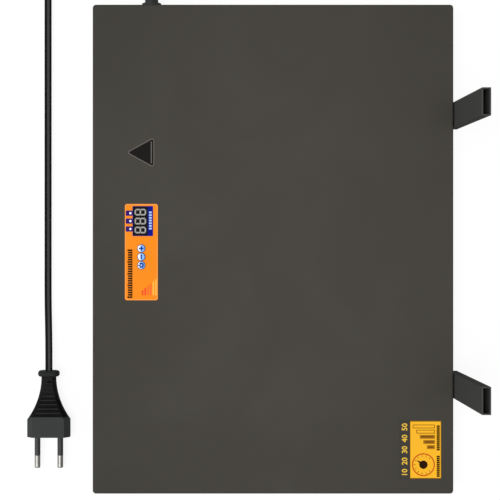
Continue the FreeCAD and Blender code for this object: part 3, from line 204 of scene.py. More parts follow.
class Effects:
    """The node groups that several finishes share, each built once."""

    FLOAT: ClassVar[str] = "NodeSocketFloat"
    VECTOR: ClassVar[str] = "NodeSocketVector"
    CLOUD_SCALE: ClassVar[float] = 0.02
    BAND_SCALE: ClassVar[float] = 0.12
    PATCH_SCALE: ClassVar[float] = 420.0
    PATCHES: ClassVar[tuple[Spot, Spot]] = ((0.35, 0.6), (0.35, 1.0))
    FACING: ClassVar[Spot] = (0.99, 0.75)
    SMEARED: ClassVar[Spot] = (0.42, 0.68)

    @classmethod
    def _open(
        cls, name: str, inputs: dict[str, str], outputs: tuple[str, ...]
    ) -> tuple[Graph, bpy.types.NodeOutputs, bpy.types.Node]:
        """Start a group with its sockets.

        Args:
            name: The group's name.
            inputs: The type of each input socket by its name.
            outputs: The names of the output sockets, which hold numbers.

        Returns:
            The group's graph, its input sockets and its output node.
        """
        tree = bpy.data.node_groups.new(name, "ShaderNodeTree")
        for label, kind in inputs.items():
            tree.interface.new_socket(label, in_out="INPUT", socket_type=kind)
        for label in outputs:
            tree.interface.new_socket(label, in_out="OUTPUT", socket_type=cls.FLOAT)
        graph = Graph(tree)
        return graph, graph.add("NodeGroupInput").outputs, graph.add("NodeGroupOutput")

    @classmethod
    def grain(cls) -> bpy.types.NodeTree:
        """Give the group for fine bumps with a slow change of tone over them.

        Returns:
            The group's own tree.
        """
        name = "surface_grain"
        if name not in bpy.data.node_groups:
            sockets = {"Vector": cls.VECTOR, "Scale": cls.FLOAT}
            graph, source, sink = cls._open(name, sockets, ("Height", "Tone"))
            fine = graph.noise(source["Vector"], source["Scale"], Detail=3.0)
            slow = graph.sum("MULTIPLY", source["Scale"], cls.CLOUD_SCALE)
            clouds = graph.noise(source["Vector"], slow, Detail=4.0)
            graph.feed(sink, {"Height": fine, "Tone": graph.span(clouds, NOISE)})
        return bpy.data.node_groups[name]

    @classmethod
    def edges(cls) -> bpy.types.NodeTree:
        """Give the group for a broken mask of the edges, where a finish wears first.

        Returns:
            The group's own tree.
        """
        name = "edge_rub"
        if name not in bpy.data.node_groups:
            sockets = {"Vector": cls.VECTOR, "Radius": cls.FLOAT}
            graph, source, sink = cls._open(name, sockets, ("Mask",))
            eased = graph.add("ShaderNodeBevel", {"Radius": source["Radius"]}, samples=6)
            facing = graph.vector("DOT_PRODUCT", graph.normal(), eased.outputs["Normal"])
            patchy = graph.noise(source["Vector"], cls.PATCH_SCALE, Detail=4.0)
            broken = graph.span(patchy, *cls.PATCHES)
            graph.feed(sink, {"Mask": graph.sum("MULTIPLY", graph.span(facing, cls.FACING), broken)})
        return bpy.data.node_groups[name]

    @classmethod
    def smears(cls) -> bpy.types.NodeTree:
        """Give the group for the faint marks that handling leaves in a gloss.

        Returns:
            The group's own tree.
        """
        name = "hand_smears"
        if name not in bpy.data.node_groups:
            sockets = {"Vector": cls.VECTOR, "Scale": cls.FLOAT}
            graph, source, sink = cls._open(name, sockets, ("Mask",))
            swirl = {"Detail": 6.0, "Roughness": 0.62, "Distortion": 0.8}
            drift = graph.noise(source["Vector"], source["Scale"], **swirl)
            graph.feed(sink, {"Mask": graph.span(drift, cls.SMEARED)})
        return bpy.data.node_groups[name]

    @classmethod
    def streaks(cls) -> bpy.types.NodeTree:
        """Give the group for the drawn-out lines of rolled or brushed metal.

        Returns:
            The group's own tree.
        """
        name = "drawn_streaks"
        if name not in bpy.data.node_groups:
            sockets = {"Vector": cls.VECTOR, "Scale": cls.FLOAT, "Stretch": cls.VECTOR}
            graph, source, sink = cls._open(name, sockets, ("Height", "Tone"))
            drawn = graph.vector("MULTIPLY", source["Vector"], source["Stretch"])
            lines = graph.noise(drawn, source["Scale"], Detail=5.0)
            wide = graph.sum("MULTIPLY", source["Scale"], cls.BAND_SCALE)
            graph.feed(sink, {"Height": lines, "Tone": graph.span(graph.noise(drawn, wide), NOISE)})
        return bpy.data.node_groups[name]


@dataclass(frozen=True)
class Finish:
    """What every finish has: a name, a colour and a roughness.

    Attributes:
        name: The name of its material.
        colour: Its linear colour.
        roughness: How matt it is.
        swing: How far the roughness goes from its own value, at both ends of a mask.
        relief: How much of its fine bumps shows.
        made: The materials built so far, by name.
    """

    name: str
    colour: Colour
    roughness: float
    swing: ClassVar[Spot] = (-0.05, 0.1)
    relief: ClassVar[float] = 0.3
    made: ClassVar[dict[str, bpy.types.Material]] = {}

    def material(self) -> bpy.types.Material:
        """Build the finish on its first use and give the same material afterwards.

        Returns:
            The finish's material.
        """
        if self.name not in self.made:
            material = bpy.data.materials.new(self.name)
            material.use_nodes = True
            material.diffuse_color = self.colour
            graph = Graph(material.node_tree)
            graph.tree.nodes.clear()
            inputs = {"Base Color": self.colour, "Roughness": self.roughness}
            shader = graph.add("ShaderNodeBsdfPrincipled", inputs)
            graph.add("ShaderNodeOutputMaterial", {"Surface": shader.outputs[0]})
            graph.feed(shader, self.shade(graph))
            self.made[self.name] = material
        return self.made[self.name]

    def shade(self, graph: Graph) -> dict[str, object]:
        """Draw what the finish shows over its surface.

        Args:
            graph: The material's graph.

        Returns:
            What the shader's inputs take, by name.
        """
        raise NotImplementedError

    def paint(self, piece: Piece) -> None:
        """Give a piece this finish alone."""
        piece.data.materials.clear()
        piece.data.materials.append(self.material())

    def clouded(self, graph: Graph, shares: Spot, mask: Socket) -> Socket:
        """Let the colour go from one share of itself to another with a mask."""
        return graph.mix(toned(self.colour, shares[0]), toned(self.colour, shares[1]), mask)

    def veiled(
        self, graph: Graph, tone: object, share: float, mask: Socket, cover: float = 1.0
    ) -> Socket:
        """Lay a share of the colour over a tone, as far as a mask and its cover let it."""
        return graph.mix(tone, toned(self.colour, share), graph.sum("MULTIPLY", mask, cover))

    def dulled(self, graph: Graph, mask: Socket, source: Spot = UNIT) -> Socket:
        """Let the roughness swing with a mask."""
        low, high = (self.roughness + part for part in self.swing)
        return graph.span(mask, source, (low, high))


@dataclass(frozen=True)
class Coating(Finish):
    """Baked powder coat on sheet metal, with a fine pebbled skin and a painted pool of light: brighter
    in its middle, painted shade towards its edges.
    """

    grain: float = 1100.0
    depth: float = 0.00006
    rub: float = 1.35
    specular: float = 0.3
    # Strength of the painted pool of light: how far the coat is darkened towards its edges.
    light_pool_strength: float = 0.0
    swing: ClassVar[Spot] = (0.05, -0.04)
    relief: ClassVar[float] = 0.5
    clouds: ClassVar[Spot] = (0.98, 1.02)
    fleck: ClassVar[float] = 1.12
    fleck_height: ClassVar[Spot] = (0.3, 0.75)
    fleck_cover: ClassVar[Spot] = (0.0, 0.5)
    edge: ClassVar[float] = 0.0009
    edge_cover: ClassVar[float] = 0.6
    smear: ClassVar[float] = 9.0
    pool_middle: ClassVar[Point] = (0.01, 0.0, 0.0)
    pool_reach: ClassVar[Spot] = (0.15, 0.245)
    pool_end: ClassVar[float] = 2.0

    def shade(self, graph: Graph) -> dict[str, object]:
        """Add pebbling, slow changes of tone, paler edges and, where set, the painted pool of light.

        Args:
            graph: The material's graph.

        Returns:
            What the shader's inputs take, by name.
        """
        grain = graph.effect(Effects.grain(), Scale=self.grain)
        edges = graph.effect(Effects.edges(), Radius=self.edge)
        smears = graph.effect(Effects.smears(), Scale=self.smear)
        tone = self.clouded(graph, self.clouds, grain["Tone"])
        flecks = graph.span(grain["Height"], self.fleck_height, self.fleck_cover)
        tone = self.veiled(graph, tone, self.fleck, flecks)
        tone = self.veiled(graph, tone, self.rub, edges["Mask"], self.edge_cover)
        return {
            "Base Color": self.paint_light_pool(graph, tone) if self.light_pool_strength > 0.0 else tone,
            "Specular IOR Level": self.specular,
            "Roughness": self.dulled(graph, smears["Mask"]),
            "Normal": graph.bump(grain["Height"], self.depth, self.relief),
        }

    def paint_light_pool(self, graph: Graph, tone: Socket) -> Socket:
        """Darken a tone with the squared distance from the middle: painted shade towards the edges
        around a painted pool of light.

        Args:
            graph: The material's graph.
            tone: The socket that holds the tone.

        Returns:
            The socket that holds the new tone.
        """
        # Painted pool of light: the coat darkens with the squared distance from a point near its middle.
        away = graph.vector("SUBTRACT", graph.place(), self.pool_middle)
        away = graph.vector("MULTIPLY", away, (1.0 / self.pool_reach[0], 1.0 / self.pool_reach[1], 0.0))
        away = graph.vector("DOT_PRODUCT", away, away)
        pool_shade = graph.span(away, (0.0, self.pool_end), (0.0, self.pool_end * self.light_pool_strength))
        return self.veiled(graph, tone, 0.0, pool_shade)


@dataclass(frozen=True)
class Moulding(Finish):
    """Moulded plastic or rubber, with the fine bite of its tool."""

    grain: float = 1600.0
    depth: float = 0.00004
    pale: float = 1.5
    specular: float = 0.4
    swing: ClassVar[Spot] = (-0.05, 0.06)
    relief: ClassVar[float] = 0.45
    clouds: ClassVar[Spot] = (0.92, 1.06)
    edge: ClassVar[float] = 0.0005
    edge_cover: ClassVar[float] = 0.5

    def shade(self, graph: Graph) -> dict[str, object]:
        """Add the tool's texture, a slight drift of tone and rubbed edges.

        Args:
            graph: The material's graph.

        Returns:
            What the shader's inputs take, by name.
        """
        grain = graph.effect(Effects.grain(), Scale=self.grain)
        edges = graph.effect(Effects.edges(), Radius=self.edge)
        tone = self.clouded(graph, self.clouds, grain["Tone"])
        return {
            "Base Color": self.veiled(graph, tone, self.pale, edges["Mask"], self.edge_cover),
            "Specular IOR Level": self.specular,
            "Roughness": self.dulled(graph, grain["Tone"]),
            "Normal": graph.bump(grain["Height"], self.depth, self.relief),
        }


@dataclass(frozen=True)
class Grip(Moulding):
    """The plug's plastic: a plain block, a darker collar and a dark grip with painted highlights on its
    rib crests.
    """

    dark: Colour = (0.01, 0.01, 0.01, 1.0)
    shoulder: float = -0.1395
    neck: float = -0.1061
    pitch: float = 0.0035
    highlighted_ribs: int = 5
    crest: float = 0.46
    rubbed: float = 2.3
    collar: float = 0.66
    blur: ClassVar[float] = 0.0004
    rib: ClassVar[Spot] = (0.0003, 0.0006)
    fade: ClassVar[float] = 0.001
    faded: ClassVar[float] = 0.3
    level: ClassVar[Spot] = (0.88, 0.95)

    def shade(self, graph: Graph) -> dict[str, object]:
        """Darken the grip over the plastic's own texture, except on the painted highlights of its flat
        rib crests.

        Args:
            graph: The material's graph.

        Returns:
            What the shader's inputs take, by name.
        """
        inputs = super().shade(graph)
        along = graph.axis(graph.place(), "Y")
        begun = graph.step(along, self.shoulder, self.blur)
        ended = graph.step(along, self.neck, self.blur, (1.0, self.collar))
        inside = graph.sum("MULTIPLY", begun, ended)
        apart = graph.sum("PINGPONG", graph.sum("SUBTRACT", along, self.shoulder), self.pitch / 2)
        # Painted highlight: the rib crests keep the paler plastic where they face up, and fade past the
        # highlighted ribs.
        crest = graph.span(apart, self.rib, (self.crest, 0.0))
        last = self.shoulder + self.pitch * self.highlighted_ribs
        fading = graph.span(along, (last, last + self.fade), (1.0, self.faded))
        crest = graph.sum("MULTIPLY", crest, fading)
        upright = graph.sum("ABSOLUTE", graph.axis(graph.normal(), "Z"), 0.0)
        crest = graph.sum("MULTIPLY", crest, graph.span(upright, self.level))
        # Past the highlighted ribs, the grip's dark is made lighter by a share.
        smooth = graph.step(along, last, self.pitch)
        dark = graph.mix(self.dark, toned(self.dark, self.rubbed), smooth)
        share = graph.sum("MULTIPLY", inside, graph.sum("SUBTRACT", 1.0, crest))
        inputs["Base Color"] = graph.mix(inputs["Base Color"], dark, share)
        return inputs


@dataclass(frozen=True)
class Sheath(Moulding):
    """The lead's black sheath, with a painted highlight along its upper side."""

    bloom: Colour = (0.06, 0.06, 0.06, 1.0)
    faces: Point = (0.22, 0.0, 0.975)
    slope: Spot = (0.9, 0.985)

    def shade(self, graph: Graph) -> dict[str, object]:
        """Lay the painted highlight over the plastic's own texture where the surface faces up.

        Args:
            graph: The material's graph.

        Returns:
            What the shader's inputs take, by name.
        """
        inputs = super().shade(graph)
        # Painted highlight: paler where the surface faces up, tipped a little towards +X.
        share = graph.span(graph.vector("DOT_PRODUCT", graph.normal(), self.faces), self.slope)
        inputs["Base Color"] = graph.mix(inputs["Base Color"], self.bloom, share)
        return inputs


@dataclass(frozen=True)
class Plating(Finish):
    """Bare or plated metal with drawn lines."""

    stretch: Point = (1.0, 0.06, 1.0)
    scale: float = 1500.0
    dull: float = 0.75
    swing: ClassVar[Spot] = (-0.06, 0.1)
    between: ClassVar[float] = 0.9
    bright: ClassVar[float] = 1.1
    edge: ClassVar[float] = 0.0004
    smear: ClassVar[float] = 60.0
    depth: ClassVar[float] = 0.00003

    def shade(self, graph: Graph) -> dict[str, object]:
        """Add drawn lines, tarnish between them and bright edges.

        Args:
            graph: The material's graph.

        Returns:
            What the shader's inputs take, by name.
        """
        lines = graph.effect(Effects.streaks(), Scale=self.scale, Stretch=self.stretch)
        smears = graph.effect(Effects.smears(), Scale=self.smear)
        edges = graph.effect(Effects.edges(), Radius=self.edge)
        tone = self.veiled(graph, self.colour, self.dull, smears["Mask"])
        tone = self.veiled(graph, tone, self.between, lines["Tone"])
        return {
            "Base Color": self.veiled(graph, tone, self.bright, edges["Mask"]),
            "Metallic": 1.0,
            "Roughness": self.dulled(graph, lines["Height"], NOISE),
            "Normal": graph.bump(lines["Height"], self.depth, self.relief),
        }


@dataclass(frozen=True)
class Film(Finish):
    """Printed polyester film or ink under a clear coat."""

    coat: float = 0.04
    drift: float = 0.06
    specular: float = 0.12
    coat_roughness: ClassVar[float] = 0.25
    grain: ClassVar[float] = 900.0
    smear: ClassVar[float] = 45.0
    depth: ClassVar[float] = 0.00001

    def shade(self, graph: Graph) -> dict[str, object]:
        """Add the ink's slight unevenness, the film's skin and finger marks.

        Args:
            graph: The material's graph.

        Returns:
            What the shader's inputs take, by name.
        """
        grain = graph.effect(Effects.grain(), Scale=self.grain)
        smears = graph.effect(Effects.smears(), Scale=self.smear)
        shares = (1.0 - self.drift, 1.0 + self.drift / 2)
        return {
            "Base Color": self.clouded(graph, shares, grain["Tone"]),
            "Coat Weight": self.coat,
            "Coat Roughness": self.coat_roughness,
            "Specular IOR Level": self.specular,
            "Roughness": self.dulled(graph, smears["Mask"]),
            "Normal": graph.bump(grain["Height"], self.depth, self.relief),
        }


@dataclass(frozen=True)
class HeadedFilm(Film):
    """Printed film with a dark head along one edge."""

    head: Colour = (0.03, 0.03, 0.03, 1.0)
    edge: float = 0.0
    blur: ClassVar[float] = 0.00005

    def shade(self, graph: Graph) -> dict[str, object]:
        """Print the head over the film's own ink.

        Args:
            graph: The material's graph.

        Returns:
            What the shader's inputs take, by name.
        """
        inputs = super().shade(graph)
        share = graph.step(graph.axis(graph.place(), "X"), self.edge, self.blur, (1.0, 0.0))
        inputs["Base Color"] = graph.mix(inputs["Base Color"], self.head, share)
        return inputs


@dataclass(frozen=True)
class SmokedLens(Finish):
    """Smoked clear plastic over a display."""

    cover: float = 0.18
    specular: float = 0.06
    swing: ClassVar[Spot] = (0.0, 0.12)
    smear: ClassVar[float] = 70.0
    smeared: ClassVar[float] = 1.4

    def shade(self, graph: Graph) -> dict[str, object]:
        """Let part of what is behind show, under a gloss with finger marks.

        Args:
            graph: The material's graph.

        Returns:
            What the shader's inputs take, by name.
        """
        smears = graph.effect(Effects.smears(), Scale=self.smear)
        return {
            "Base Color": self.veiled(graph, self.colour, self.smeared, smears["Mask"]),
            "Alpha": self.cover,
            "Specular IOR Level": self.specular,
            "Roughness": self.dulled(graph, smears["Mask"]),
        }


@dataclass(frozen=True)
class ButtonCap(Finish):
    """A glossy cap: a painted white highlight at its top edge that turns to the cap's blue towards its
    lower edge.
    """

    foot: Colour = (0.1, 0.4, 0.8, 1.0)
    top_x: float = 0.0
    foot_x: float = 1.0
    swing: ClassVar[Spot] = (-0.05, 0.08)
    waves: ClassVar[Spot] = (-0.06, 0.06)
    grain: ClassVar[float] = 1500.0
    coat: ClassVar[float] = 0.4
    coat_roughness: ClassVar[float] = 0.15
    depth: ClassVar[float] = 0.00001

    def shade(self, graph: Graph) -> dict[str, object]:
        """Paint the cap from the white highlight at its top to its blue at the foot, and add its fine
        skin.

        Args:
            graph: The material's graph.

        Returns:
            What the shader's inputs take, by name.
        """
        grain = graph.effect(Effects.grain(), Scale=self.grain)
        # Painted highlight: white at the cap's top edge, turning to the blue foot colour towards its
        # lower edge.
        share = graph.span(graph.axis(graph.place(), "X"), (self.top_x, self.foot_x))
        share = graph.sum("ADD", share, graph.span(grain["Tone"], UNIT, self.waves))
        return {
            "Base Color": graph.mix(self.colour, self.foot, share),
            "Coat Weight": self.coat,
            "Coat Roughness": self.coat_roughness,
            "Roughness": self.dulled(graph, grain["Tone"]),
            "Normal": graph.bump(grain["Height"], self.depth, self.relief),
        }


@dataclass(frozen=True)
class Fibre(Finish):
    """Needled felt or a woven strap: fine fibres with some sheen."""

    scale: float = 1400.0
    depth: float = 0.0003
    swing: ClassVar[Spot] = (0.0, 0.15)
    relief: ClassVar[float] = 0.6
    ways: ClassVar[tuple[Point, Point]] = ((1.0, 0.25, 0.6), (0.25, 1.0, 0.6))
    shades: ClassVar[Spot] = (0.7, 1.15)
    heights: ClassVar[Spot] = (0.3, 0.8)
    patch: ClassVar[float] = 0.85
    patch_cover: ClassVar[float] = 0.2
    sheen: ClassVar[float] = 0.3
    sheen_roughness: ClassVar[float] = 0.5

    def shade(self, graph: Graph) -> dict[str, object]:
        """Add tangled fibres and patches of tone.

        Args:
            graph: The material's graph.

        Returns:
            What the shader's inputs take, by name.
        """
        lay = [graph.effect(Effects.streaks(), Scale=self.scale, Stretch=way) for way in self.ways]
        tangle = graph.sum("MAXIMUM", lay[0]["Height"], lay[1]["Height"])
        tone = self.clouded(graph, self.shades, tangle)
        return {
            "Base Color": self.veiled(graph, tone, self.patch, lay[0]["Tone"], self.patch_cover),
            "Sheen Weight": self.sheen,
            "Sheen Roughness": self.sheen_roughness,
            "Roughness": self.dulled(graph, tangle, self.heights),
            "Normal": graph.bump(tangle, self.depth, self.relief),
        }


@dataclass(frozen=True)
class Laminate(Finish):
    """Glass-fibre or carbon laminate whose weave shows through its skin."""

    weave: float = 2200.0
    light: float = 1.3
    wobble: ClassVar[float] = 0.4
    grain: ClassVar[float] = 1200.0
    cloud: ClassVar[float] = 0.8
    cloud_cover: ClassVar[float] = 0.3
    coat: ClassVar[float] = 0.2
    depth: ClassVar[float] = 0.00003

    def shade(self, graph: Graph) -> dict[str, object]:
        """Add the crossed weave and a slow change of tone.

        Args:
            graph: The material's graph.

        Returns:
            What the shader's inputs take, by name.
        """
        inputs = {"Vector": graph.place(), "Scale": self.weave, "Distortion": self.wobble}
        threads = [graph.add("ShaderNodeTexWave", inputs, bands_direction=way) for way in "XY"]
        weave = graph.sum("MULTIPLY", threads[0].outputs["Fac"], threads[1].outputs["Fac"])
        grain = graph.effect(Effects.grain(), Scale=self.grain)
        tone = self.veiled(graph, self.colour, self.light, weave)
        return {
            "Base Color": self.veiled(graph, tone, self.cloud, grain["Tone"], self.cloud_cover),
            "Coat Weight": self.coat,
            "Roughness": self.dulled(graph, weave),
            "Normal": graph.bump(weave, self.depth, self.relief),
        }


def finishes() -> dict[str, Finish]:
    """Give the finish of each material slot, and of the inks, by name.

    Returns:
        The finishes by name.
    """
    made = [
        # The case's paint carries the painted pool of light.
        Coating("case_paint", ink(59, 56, 49), 0.62, specular=0.25, light_pool_strength=0.15),
        # The feet's paint is lighter than the case's: partly its own more neutral grey, partly painted
        # light for the stronger light on the feet.
        Coating("foot_paint", ink(72, 73, 71), 0.85, grain=1400.0, specular=0.02),
        Plating("screw_steel", ink(168, 168, 172), 0.32),
        Plating("zinc_steel", ink(176, 178, 182), 0.42, scale=600.0, stretch=(1.0, 0.4, 1.0)),
        Moulding("spacer_rubber", ink(36, 36, 36), 0.75),
        Film("label_orange", ink(255, 143, 4), 0.42, specular=0.06),
        SmokedLens("smoked_lens", ink(4, 5, 14), 0.12),
        Film("badge_black", ink(22, 19, 18), 0.5, coat=0.0, specular=0.05),
        HeadedFilm("notice_amber", ink(255, 188, 36), 0.42, head=ink(56, 53, 48), edge=0.1076),
        Laminate("board_green", ink(24, 92, 50), 0.4),
        Plating("brass", ink(206, 166, 84), 0.3),
        Moulding("black_plastic", ink(40, 40, 41), 0.55),
        Moulding("display_black", ink(9, 9, 12), 0.6, specular=0.05),
        Moulding("lamp_white", ink(240, 240, 244), 0.25, pale=1.0),
        # The cap's colour is its painted white highlight; its foot colour is the cap's own blue.
        ButtonCap(
            "button_blue", ink(246, 250, 255), 0.28,
            foot=ink(58, 150, 245), top_x=-0.1136, foot_x=-0.1110,
        ),
        Moulding("relay_blue", ink(28, 70, 156), 0.45),
        Plating("can_aluminium", ink(204, 205, 208), 0.36),
        Moulding("terminal_green", ink(44, 134, 70), 0.5),
        Moulding("header_white", ink(232, 231, 222), 0.5, pale=1.05),
        Laminate("element_black", ink(52, 52, 54), 0.5, weave=900.0, light=1.6),
        Plating("copper", ink(198, 120, 84), 0.34, dull=0.6),
        Fibre("felt", ink(222, 217, 203), 0.85),
        Moulding("nylon_black", ink(38, 38, 38), 0.5),
        Moulding("wire_brown", ink(92, 52, 28), 0.5),
        Moulding("wire_white", ink(222, 222, 215), 0.5, pale=1.05),
        Sheath("cord_black", ink(14, 14, 15), 0.6, grain=900.0, specular=0.04, bloom=ink(72, 72, 72)),
        Fibre("tie_black", ink(34, 34, 35), 0.85, scale=2600.0),
        Grip("plug_black", ink(61, 63, 62), 0.62, specular=0.04, dark=ink(13, 13, 14)),
        Moulding("bush_black", ink(44, 45, 44), 0.55, specular=0.15),
        Plating("pin_nickel", ink(134, 133, 130), 0.26, stretch=(1.0, 0.04, 1.0), dull=0.9),
        Film("ink_blue", ink(0, 16, 140), 0.4, coat=0.0, specular=0.04),
        Film("ink_violet", ink(50, 18, 116), 0.4, coat=0.0, specular=0.04),
        Film("ink_brown", ink(40, 16, 0), 0.45, coat=0.0, specular=0.04),
        Film("ink_ice", ink(178, 204, 250), 0.4),
        Film("ink_red", ink(244, 72, 16), 0.42),
        Film("ink_yellow", ink(255, 184, 60), 0.42),
        Film("ink_grey", ink(104, 100, 95), 0.45, specular=0.06),
        Film("ink_silver", ink(114, 111, 107), 0.42, specular=0.06),
        Film("ink_pale", ink(255, 166, 76), 0.42),
        Film("ink_ember", ink(252, 108, 20), 0.42),
        Film("ink_amber", ink(246, 200, 66), 0.42),
        Film("ink_umber", ink(112, 62, 2), 0.42, specular=0.06),
        Film("ink_rust", ink(204, 82, 6), 0.42),
        Film("ink_azure", ink(0, 70, 160), 0.35, coat=0.0, specular=0.03),
        Film("ink_slate", ink(58, 74, 108), 0.45, coat=0.0, specular=0.04),
        Film("segment_grey", ink(240, 237, 231), 0.5),
    ]
    return {finish.name: finish for finish in made}


class Bench:
    """Modelling moves on one object at a time, as done by hand."""

    MERGED: ClassVar[float] = 1e-7
    NEAR: ClassVar[float] = 0.00005

    @staticmethod
    def clear() -> None:
        """Leave edit mode and deselect everything."""
        active = bpy.context.view_layer.objects.active
        if active is not None and active.mode != "OBJECT":
            bpy.ops.object.mode_set(mode="OBJECT")
        bpy.ops.object.select_all(action="DESELECT")

    @staticmethod
    def take(piece: Piece) -> None:
        """Select one piece alone, in object mode.

        Args:
            piece: The object to work on.
        """
        Bench.clear()
        piece.select_set(True)
        bpy.context.view_layer.objects.active = piece

    @staticmethod
    def settle(piece: Piece, name: str) -> Piece:
        """Put a piece's place, turn and size into its mesh, and name it.

        Args:
            piece: The object to settle.
            name: Its new name.

        Returns:
            The same object, at the origin.
        """
        Bench.take(piece)
        bpy.ops.object.transform_apply(location=True, rotation=True, scale=True)
        piece.name = name
        piece.data.name = name
        return piece

    @staticmethod
    def pick(piece: Piece, kind: Pick, test: Test | None = None) -> None:
        """Open a piece in edit mode and select by place.

        Args:
            piece: The object to open.
            kind: What is selected.
            test: Tells from the place of each corner whether it is selected; all are without it.
        """
        Bench.take(piece)
        bpy.ops.object.mode_set(mode="EDIT")
        bpy.ops.mesh.select_mode(type=kind.value)
        bpy.ops.mesh.select_all(action="SELECT" if test is None else "DESELECT")
        if test is not None:
            bpy.ops.object.mode_set(mode="OBJECT")
            for corner in piece.data.vertices:
                corner.select = test(corner.co)
            bpy.ops.object.mode_set(mode="EDIT")

    @staticmethod
    def pull(piece: Piece, middle: Vector, shift: Point) -> None:
        """Extrude one edge of a piece, and leave it open in edit mode.

        Args:
            piece: The object to open.
            middle: The middle of the edge.
            shift: How far the edge is pulled, in metres.
        """
        Bench.pick(piece, Pick.EDGE)
        bpy.ops.mesh.select_all(action="DESELECT")
        bpy.ops.object.mode_set(mode="OBJECT")
        for edge in piece.data.edges:
            start, end = (piece.data.vertices[i].co for i in edge.vertices)
            edge.select = ((start + end) / 2 - middle).length < Bench.NEAR
        bpy.ops.object.mode_set(mode="EDIT")
        Bench.extrude(shift)

    @staticmethod
    def close(piece: Piece) -> None:
        """Turn all faces of a closed piece outwards and leave edit mode.

        Args:
            piece: The object to close.
        """
        Bench.pick(piece, Pick.FACE)
        bpy.ops.mesh.remove_doubles(threshold=Bench.MERGED)
        bpy.ops.mesh.normals_make_consistent(inside=False)
        bpy.ops.object.mode_set(mode="OBJECT")

    @staticmethod
    def extrude(shift: Point) -> None:
        """Extrude what is selected by a shift in metres."""
        bpy.ops.mesh.extrude_region_move(TRANSFORM_OT_translate={"value": shift})

    @staticmethod
    def round_off(piece: Piece, radius: float, segments: int) -> None:
        """Round the corners of a flat shape.

        Args:
            piece: The flat shape.
            radius: How far from the corner the rounding begins.
            segments: How many edges each rounding has.
        """
        Bench.pick(piece, Pick.CORNER)
        bpy.ops.mesh.bevel(offset=radius, segments=segments, affect="VERTICES")
        bpy.ops.object.mode_set(mode="OBJECT")

    @staticmethod
    def twin(piece: Piece, shift: Point) -> Piece:
        """Copy a piece, with a mesh of its own, to another place.

        Args:
            piece: The object to copy.
            shift: How far away the copy goes, in metres.

        Returns:
            The copy.
        """
        Bench.take(piece)
        bpy.ops.object.duplicate(linked=False)
        copy = bpy.context.view_layer.objects.active
        copy.location = Vector(shift)
        return Bench.settle(copy, piece.name)

    @staticmethod
    def join(pieces: list[Piece], name: str) -> Piece:
        """Make one object of several.

        Args:
            pieces: The objects to join.
            name: The name of the result.

        Returns:
            The joined object.
        """
        Bench.take(pieces[0])
        for piece in pieces[1:]:
            piece.select_set(True)
        if len(pieces) > 1:
            bpy.ops.object.join()
        return Bench.settle(pieces[0], name)

    @staticmethod
    def modify(piece: Piece, kind: str, **settings: object) -> None:
        """Add a modifier and apply it.

        Args:
            piece: The object to change.
            kind: The modifier's type.
            settings: Its properties.
        """
        Bench.take(piece)
        modifier = piece.modifiers.new(kind.lower(), kind)
        for key, value in settings.items():
            setattr(modifier, key, value)
        bpy.ops.object.modifier_apply(modifier=modifier.name)

    @staticmethod
    def ease(piece: Piece, thick: float) -> None:
        """Ease the sharp edges of a piece by a quarter of its thickness."""
        Bench.modify(piece, "BEVEL", width=thick / 4, segments=2, limit_method="ANGLE")

    @staticmethod
    def cut(piece: Piece, tool: Piece) -> None:
        """Take a closed tool's shape out of a piece, and the tool away."""
        Bench.modify(piece, "BOOLEAN", operation="DIFFERENCE", solver="EXACT", object=tool)
        bpy.data.objects.remove(tool)


